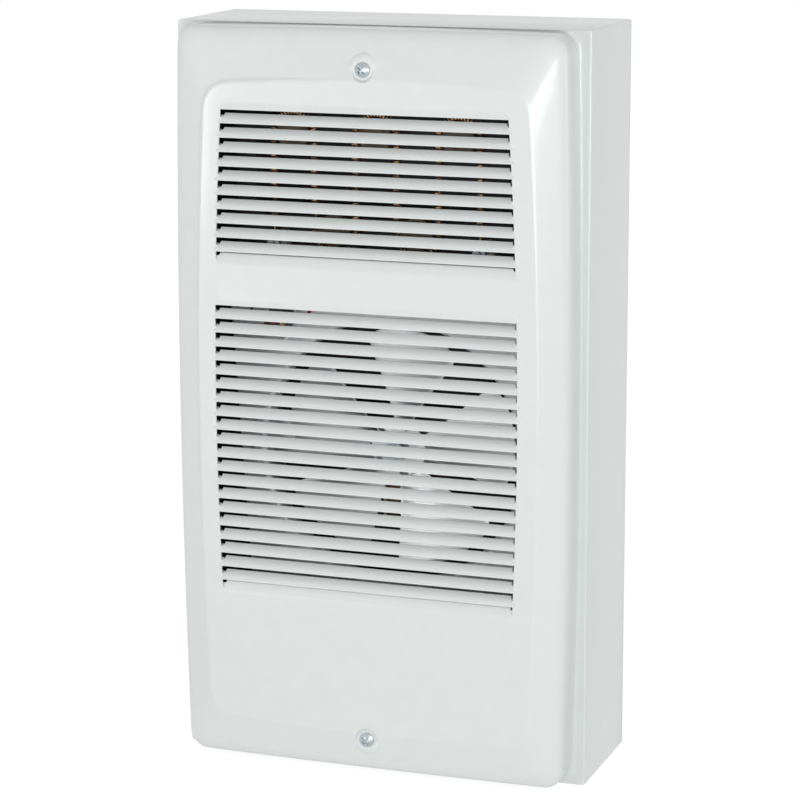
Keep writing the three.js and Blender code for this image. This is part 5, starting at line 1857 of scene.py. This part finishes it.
@dataclass
class LimitSwitch:
    """The manual-reset limit switch on the deck, with its red button."""

    flange_sheet: float = 1.2 * MM
    cup_radius: float = 8 * MM
    ear_half: float = 5 * MM
    ear_end: float = 4 * MM
    hole: float = 1.56 * MM

    def __post_init__(self) -> None:
        """Takes the switch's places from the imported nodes."""
        low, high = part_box("limit_cup")
        self.ear = (high.z - low.z) / 2 - self.ear_end
        self.centre = centre_of("limit_cup")

    def cup(self) -> Piece:
        """Presses the cup with its two ears, and punches their holes.

        Returns:
            The cup.
        """
        front, back, (x, z), _ = round_box("limit_cup")
        outline = []
        arc_steps = 10
        for end in (1, -1):
            for i in range(arc_steps + 1):
                angle = math.pi * i / arc_steps
                outline.append((x + self.ear_half * math.cos(angle) * end,
                                z + end * (self.ear - 1 * MM) + self.ear_half * math.sin(angle) * end))
        cup = Bench.prism("limit_cup_pressed", outline, Along.Y, front, front + self.flange_sheet)
        radius, rim = self.cup_radius, self.cup_radius + 1.2 * MM
        bowl = Bench.turned("bowl", [
            (0, front + 0.1 * MM), (rim, front + 0.1 * MM), (rim, front + self.flange_sheet),
            (radius, front + 1.5 * MM), (radius, back - 1 * MM), (radius - 1 * MM, back), (0, back)],
            Along.Y, (x, z), 56)
        Bench.combine(cup, [bowl], "UNION")
        holes = [Bench.drill(Along.Y, (x, z + side * self.ear), self.hole, front - 2 * MM, front + 4 * MM, 28)
                 for side in (-1, 1)]
        Bench.combine(cup, holes, "DIFFERENCE")
        return cup

    def body(self) -> Piece:
        """Moulds the switch's body, with a raised collar round the button and slots for the tabs.

        Returns:
            The body.
        """
        front, back, centre, radius = round_box("limit_body")
        pocket, bore = front + 7 * MM, 2.65 * MM
        piece = Bench.turned("limit_body_moulded", [
            (0, pocket), (bore, pocket), (bore, front), (bore + 1 * MM, front),
            (bore + 1.2 * MM, front + 0.6 * MM), (radius - 1.6 * MM, front + 0.6 * MM),
            (radius - 1 * MM, front + 1 * MM), (radius - 1 * MM, back - 4 * MM), (radius, back - 3.6 * MM),
            (radius, back), (0, back)], Along.Y, centre, 64)
        spare = Vector((0.3, 0.3, 0.3)) * MM
        tabs = [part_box(f"limit_tab_{side}") for side in SIDES]
        slots = [Bench.block("tab_slot", low - spare, high + spare) for low, high in tabs]
        Bench.combine(piece, slots, "DIFFERENCE")
        return piece

    def button(self) -> Piece:
        """Turns the reset button: a domed pin.

        Returns:
            The button.
        """
        front, back, centre, radius = round_box("reset_button")
        profile = [(0, front)]
        dome_steps = 6
        for i in range(1, dome_steps + 1):
            angle = math.pi / 2 * i / dome_steps
            profile.append((radius * math.sin(angle), front + 1.1 * MM * (1 - math.cos(angle))))
        profile += [(radius, back - 0.3 * MM), (radius - 0.3 * MM, back), (0, back)]
        return Bench.turned("reset_button_red", profile, Along.Y, centre, 40)

    def tab(self, node: str) -> None:
        """Stamps a push-on tab: a thin blade with chamfered corners and a dimple hole.

        Args:
            node: The CAD node.
        """
        low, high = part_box(node)
        chamfer = 1.2 * MM
        outline = [(high.y, low.z), (high.y, high.z), (low.y + chamfer, high.z), (low.y, high.z - chamfer),
                   (low.y, low.z + chamfer), (low.y + chamfer, low.z)]
        piece = Bench.prism(f"{node}_brass", outline, Along.X, low.x, high.x)
        centre = (low.y + 2.6 * MM, centre_of(node)[1])
        hole = Bench.drill(Along.X, centre, 0.8 * MM, low.x - 1 * MM, high.x + 1 * MM, 24)
        Bench.combine(piece, [hole], "DIFFERENCE")
        dress(piece, BRASS, node, rounding=0.12 * MM)

    def build(self) -> None:
        """Models the switch, its button, its tabs and its two screws."""
        dress(self.cup(), ALUMINIUM, "limit_cup", rounding=0.15 * MM)
        dress(self.body(), PHENOLIC, "limit_body", rounding=0.2 * MM)
        dress(self.button(), RED_PLASTIC, "reset_button", body=Body.BUTTON)
        for side in SIDES:
            self.tab(f"limit_tab_{side}")
        x, z = self.centre
        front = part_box("limit_cup")[0].y
        for name, side in (("upper", 1), ("lower", -1)):
            pan_screw(f"limit_screw_{name}", Along.Y, (x, z + side * self.ear),
                      (front - 1.5 * MM, front + 7 * MM), (2.4 * MM, 1.4 * MM, 1.25 * MM), ZINC)


# ---- wiring


@dataclass
class Wiring:
    """The leads, their grommets, the terminal block and the ground screw."""

    shrink: float = 0.14 * MM
    block_pole_x: float = 13 * MM

    def lead(self, node: str, finish: Finish) -> None:
        """Rounds a lead: its own route, merged, subdivided once and brought back to its thickness.

        Args:
            node: The CAD node.
            finish: Its insulation.
        """
        piece = Bench.traced(f"{node}_wire", node, quads=True)
        Bench.modify(piece, "SUBSURF", levels=1, render_levels=1)
        Bench.modify(piece, "DISPLACE", strength=self.shrink, mid_level=0.0)
        dress(piece, finish, node)

    def grommet(self, node: str) -> None:
        """Turns a rubber grommet with rounded flanges.

        Args:
            node: The CAD node.
        """
        flange = radius_of(node)
        bore, neck, wall = 4.6 * MM, 6.6 * MM, 1.6 * MM
        half = [(bore, 0.4 * MM), (bore + 0.4 * MM, 0), (flange - 0.5 * MM, 0), (flange, 0.5 * MM),
                (flange, wall), (neck, wall)]
        turn_symmetrical(f"{node}_rubber", node, half, RUBBER, 56, Along.Z)

    def block(self) -> None:
        """Models the terminal block and the screws in its poles."""
        node = "terminal_block"
        dress(Bench.traced(f"{node}_moulded", node), PHENOLIC, node, rounding=0.5 * MM, segments=3)
        low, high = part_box(node)
        poles = [(side * self.block_pole_x, low.z + (high.z - low.z) * share)
                 for side in (-1, 1) for share in (0.27, 0.73)]
        for number, pole in enumerate(poles, 1):
            pan_screw(f"block_screw_{number}", Along.Y, pole, (low.y - 2.2 * MM, low.y + 6 * MM),
                      (3.4 * MM, 2 * MM, 1.7 * MM), ZINC)

    def build(self) -> None:
        """Models the wiring."""
        for node in ("lead_line", "lead_element", "lead_motor_left", "lead_motor_right"):
            self.lead(node, BLACK_LEAD)
        self.lead("lead_limit", RED_LEAD)
        for side in SIDES:
            self.grommet(f"lead_grommet_{side}")
        self.block()
        fit_screw("ground_screw", finish=GREEN_SCREW)


# ---- studio


@dataclass(frozen=True)
class Softbox:
    """A large soft lamp that points at a place."""

    name: str
    place: tuple[float, float, float]
    aim: tuple[float, float, float]
    size: Pair
    power: float

    def build(self) -> None:
        """Hangs the lamp."""
        lamp = bpy.data.lights.new(self.name, "AREA")
        lamp.shape = "RECTANGLE"
        lamp.size, lamp.size_y = self.size
        lamp.energy = self.power
        holder = bpy.data.objects.new(self.name, lamp)
        holder.location = self.place
        toward = Vector(self.aim) - Vector(self.place)
        holder.rotation_euler = toward.to_track_quat("-Z", "Y").to_euler()
        bpy.context.scene.collection.objects.link(holder)


@dataclass
class Studio:
    """The plain pale floor, the soft light and the camera at the photograph's angle."""

    image_size: float = 800.0
    focal_pixels: float = 2872.39
    sensor: float = 36.0
    place: tuple[float, float, float] = (0.658397, -1.863480, 0.410900)
    yaw: float = -20.0427
    pitch: float = 12.2142
    roll: float = -0.2181
    sky: float = 0.5
    floor_size: float = 8.0
    floor_glow: float = 1.27
    floor_share: float = 0.7

    def camera(self) -> None:
        """Sets the camera up where the photograph was taken from."""
        yaw, pitch, roll = (math.radians(angle) for angle in (self.yaw, self.pitch, self.roll))
        forward = Vector((math.sin(yaw) * math.cos(pitch), math.cos(yaw) * math.cos(pitch), -math.sin(pitch)))
        level = Vector((math.cos(yaw), -math.sin(yaw), 0.0))
        upright = level.cross(forward)
        up = upright * math.cos(roll) - level * math.sin(roll)
        right = forward.cross(up)
        camera = bpy.data.cameras.new("camera")
        camera.sensor_width = self.sensor
        camera.lens = self.sensor * self.focal_pixels / self.image_size
        camera.clip_end = 50.0
        holder = bpy.data.objects.new("camera", camera)
        turn = Matrix((right, up, -forward)).transposed().to_4x4()
        holder.matrix_world = Matrix.Translation(self.place) @ turn
        bpy.context.scene.collection.objects.link(holder)
        bpy.context.scene.camera = holder

    def world(self) -> None:
        """Lights everything evenly, and shows white to the camera and in reflections."""
        world = bpy.data.worlds.new("sky")
        bpy.context.scene.world = world
        world.use_nodes = True
        shader = Shader(world.node_tree)
        seen = shader.ray("Camera").at_least(shader.ray("Glossy")).at_least(shader.ray("Transmission"))
        strength = seen * (1.0 - self.sky) + self.sky
        sky = shader.node("ShaderNodeBackground", {"Color": (1.0, 1.0, 1.0, 1.0), "Strength": strength})
        shader.node("ShaderNodeOutputWorld", {"Surface": sky})

    def floor(self) -> None:
        """Lays a pale floor under the heater that keeps a faint shadow."""
        bpy.ops.object.select_all(action="DESELECT")
        bpy.ops.mesh.primitive_plane_add(size=self.floor_size, location=(0, 0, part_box("surface_can")[0].z))
        floor = bpy.context.object
        floor.name = "floor"
        material = bpy.data.materials.new("pale_floor")
        material.use_nodes = True
        shader = Shader(material.node_tree)
        cloud = shader.noise(shader.place(), 3.0, 2.0)
        paint = shader.node("ShaderNodeBsdfPrincipled", {
            "Base Color": shader.mix(cloud, (0.86, 0.86, 0.86), (0.82, 0.82, 0.82)), "Roughness": 0.85,
            "Specular IOR Level": 0.2})
        glow = shader.node("ShaderNodeEmission", {"Color": (1.0, 1.0, 1.0, 1.0),
                                                  "Strength": self.floor_glow})
        shown = shader.ray("Camera").at_least(shader.ray("Glossy")) * self.floor_share
        surface = shader.node("ShaderNodeMixShader", {0: shown, 1: paint, 2: glow})
        shader.node("ShaderNodeOutputMaterial", {"Surface": surface})
        floor.data.materials.append(material)

    def build(self) -> None:
        """Sets up the view settings, camera, light and floor."""
        bpy.context.scene.view_settings.view_transform = "Standard"
        self.camera()
        self.world()
        self.floor()
        middle = (0.0, -0.08, 0.0)
        Softbox("key", (0.75, -2.4, 0.08), middle, (1.3, 0.62), 20.0).build()
        Softbox("glow", (-1.2, -2.0, 0.05), middle, (0.4, 0.5), 5.5).build()
        Softbox("side_strip", (2.2, -0.25, 0.1), middle, (0.3, 1.8), 7.5).build()


def main() -> None:
    """Builds the studio and every sub-assembly in order."""
    logging.basicConfig(level=logging.INFO, format="%(name)s %(message)s")
    Studio().build()
    for assembly in (FrontCover, SurfaceCan, FanDeck, Fan, Motor, Element, LimitSwitch, Wiring):
        LOG.info("building %s", assembly.__name__)
        assembly().build()
    bpy.ops.object.select_all(action="DESELECT")


if __name__ == "__main__":
    main()
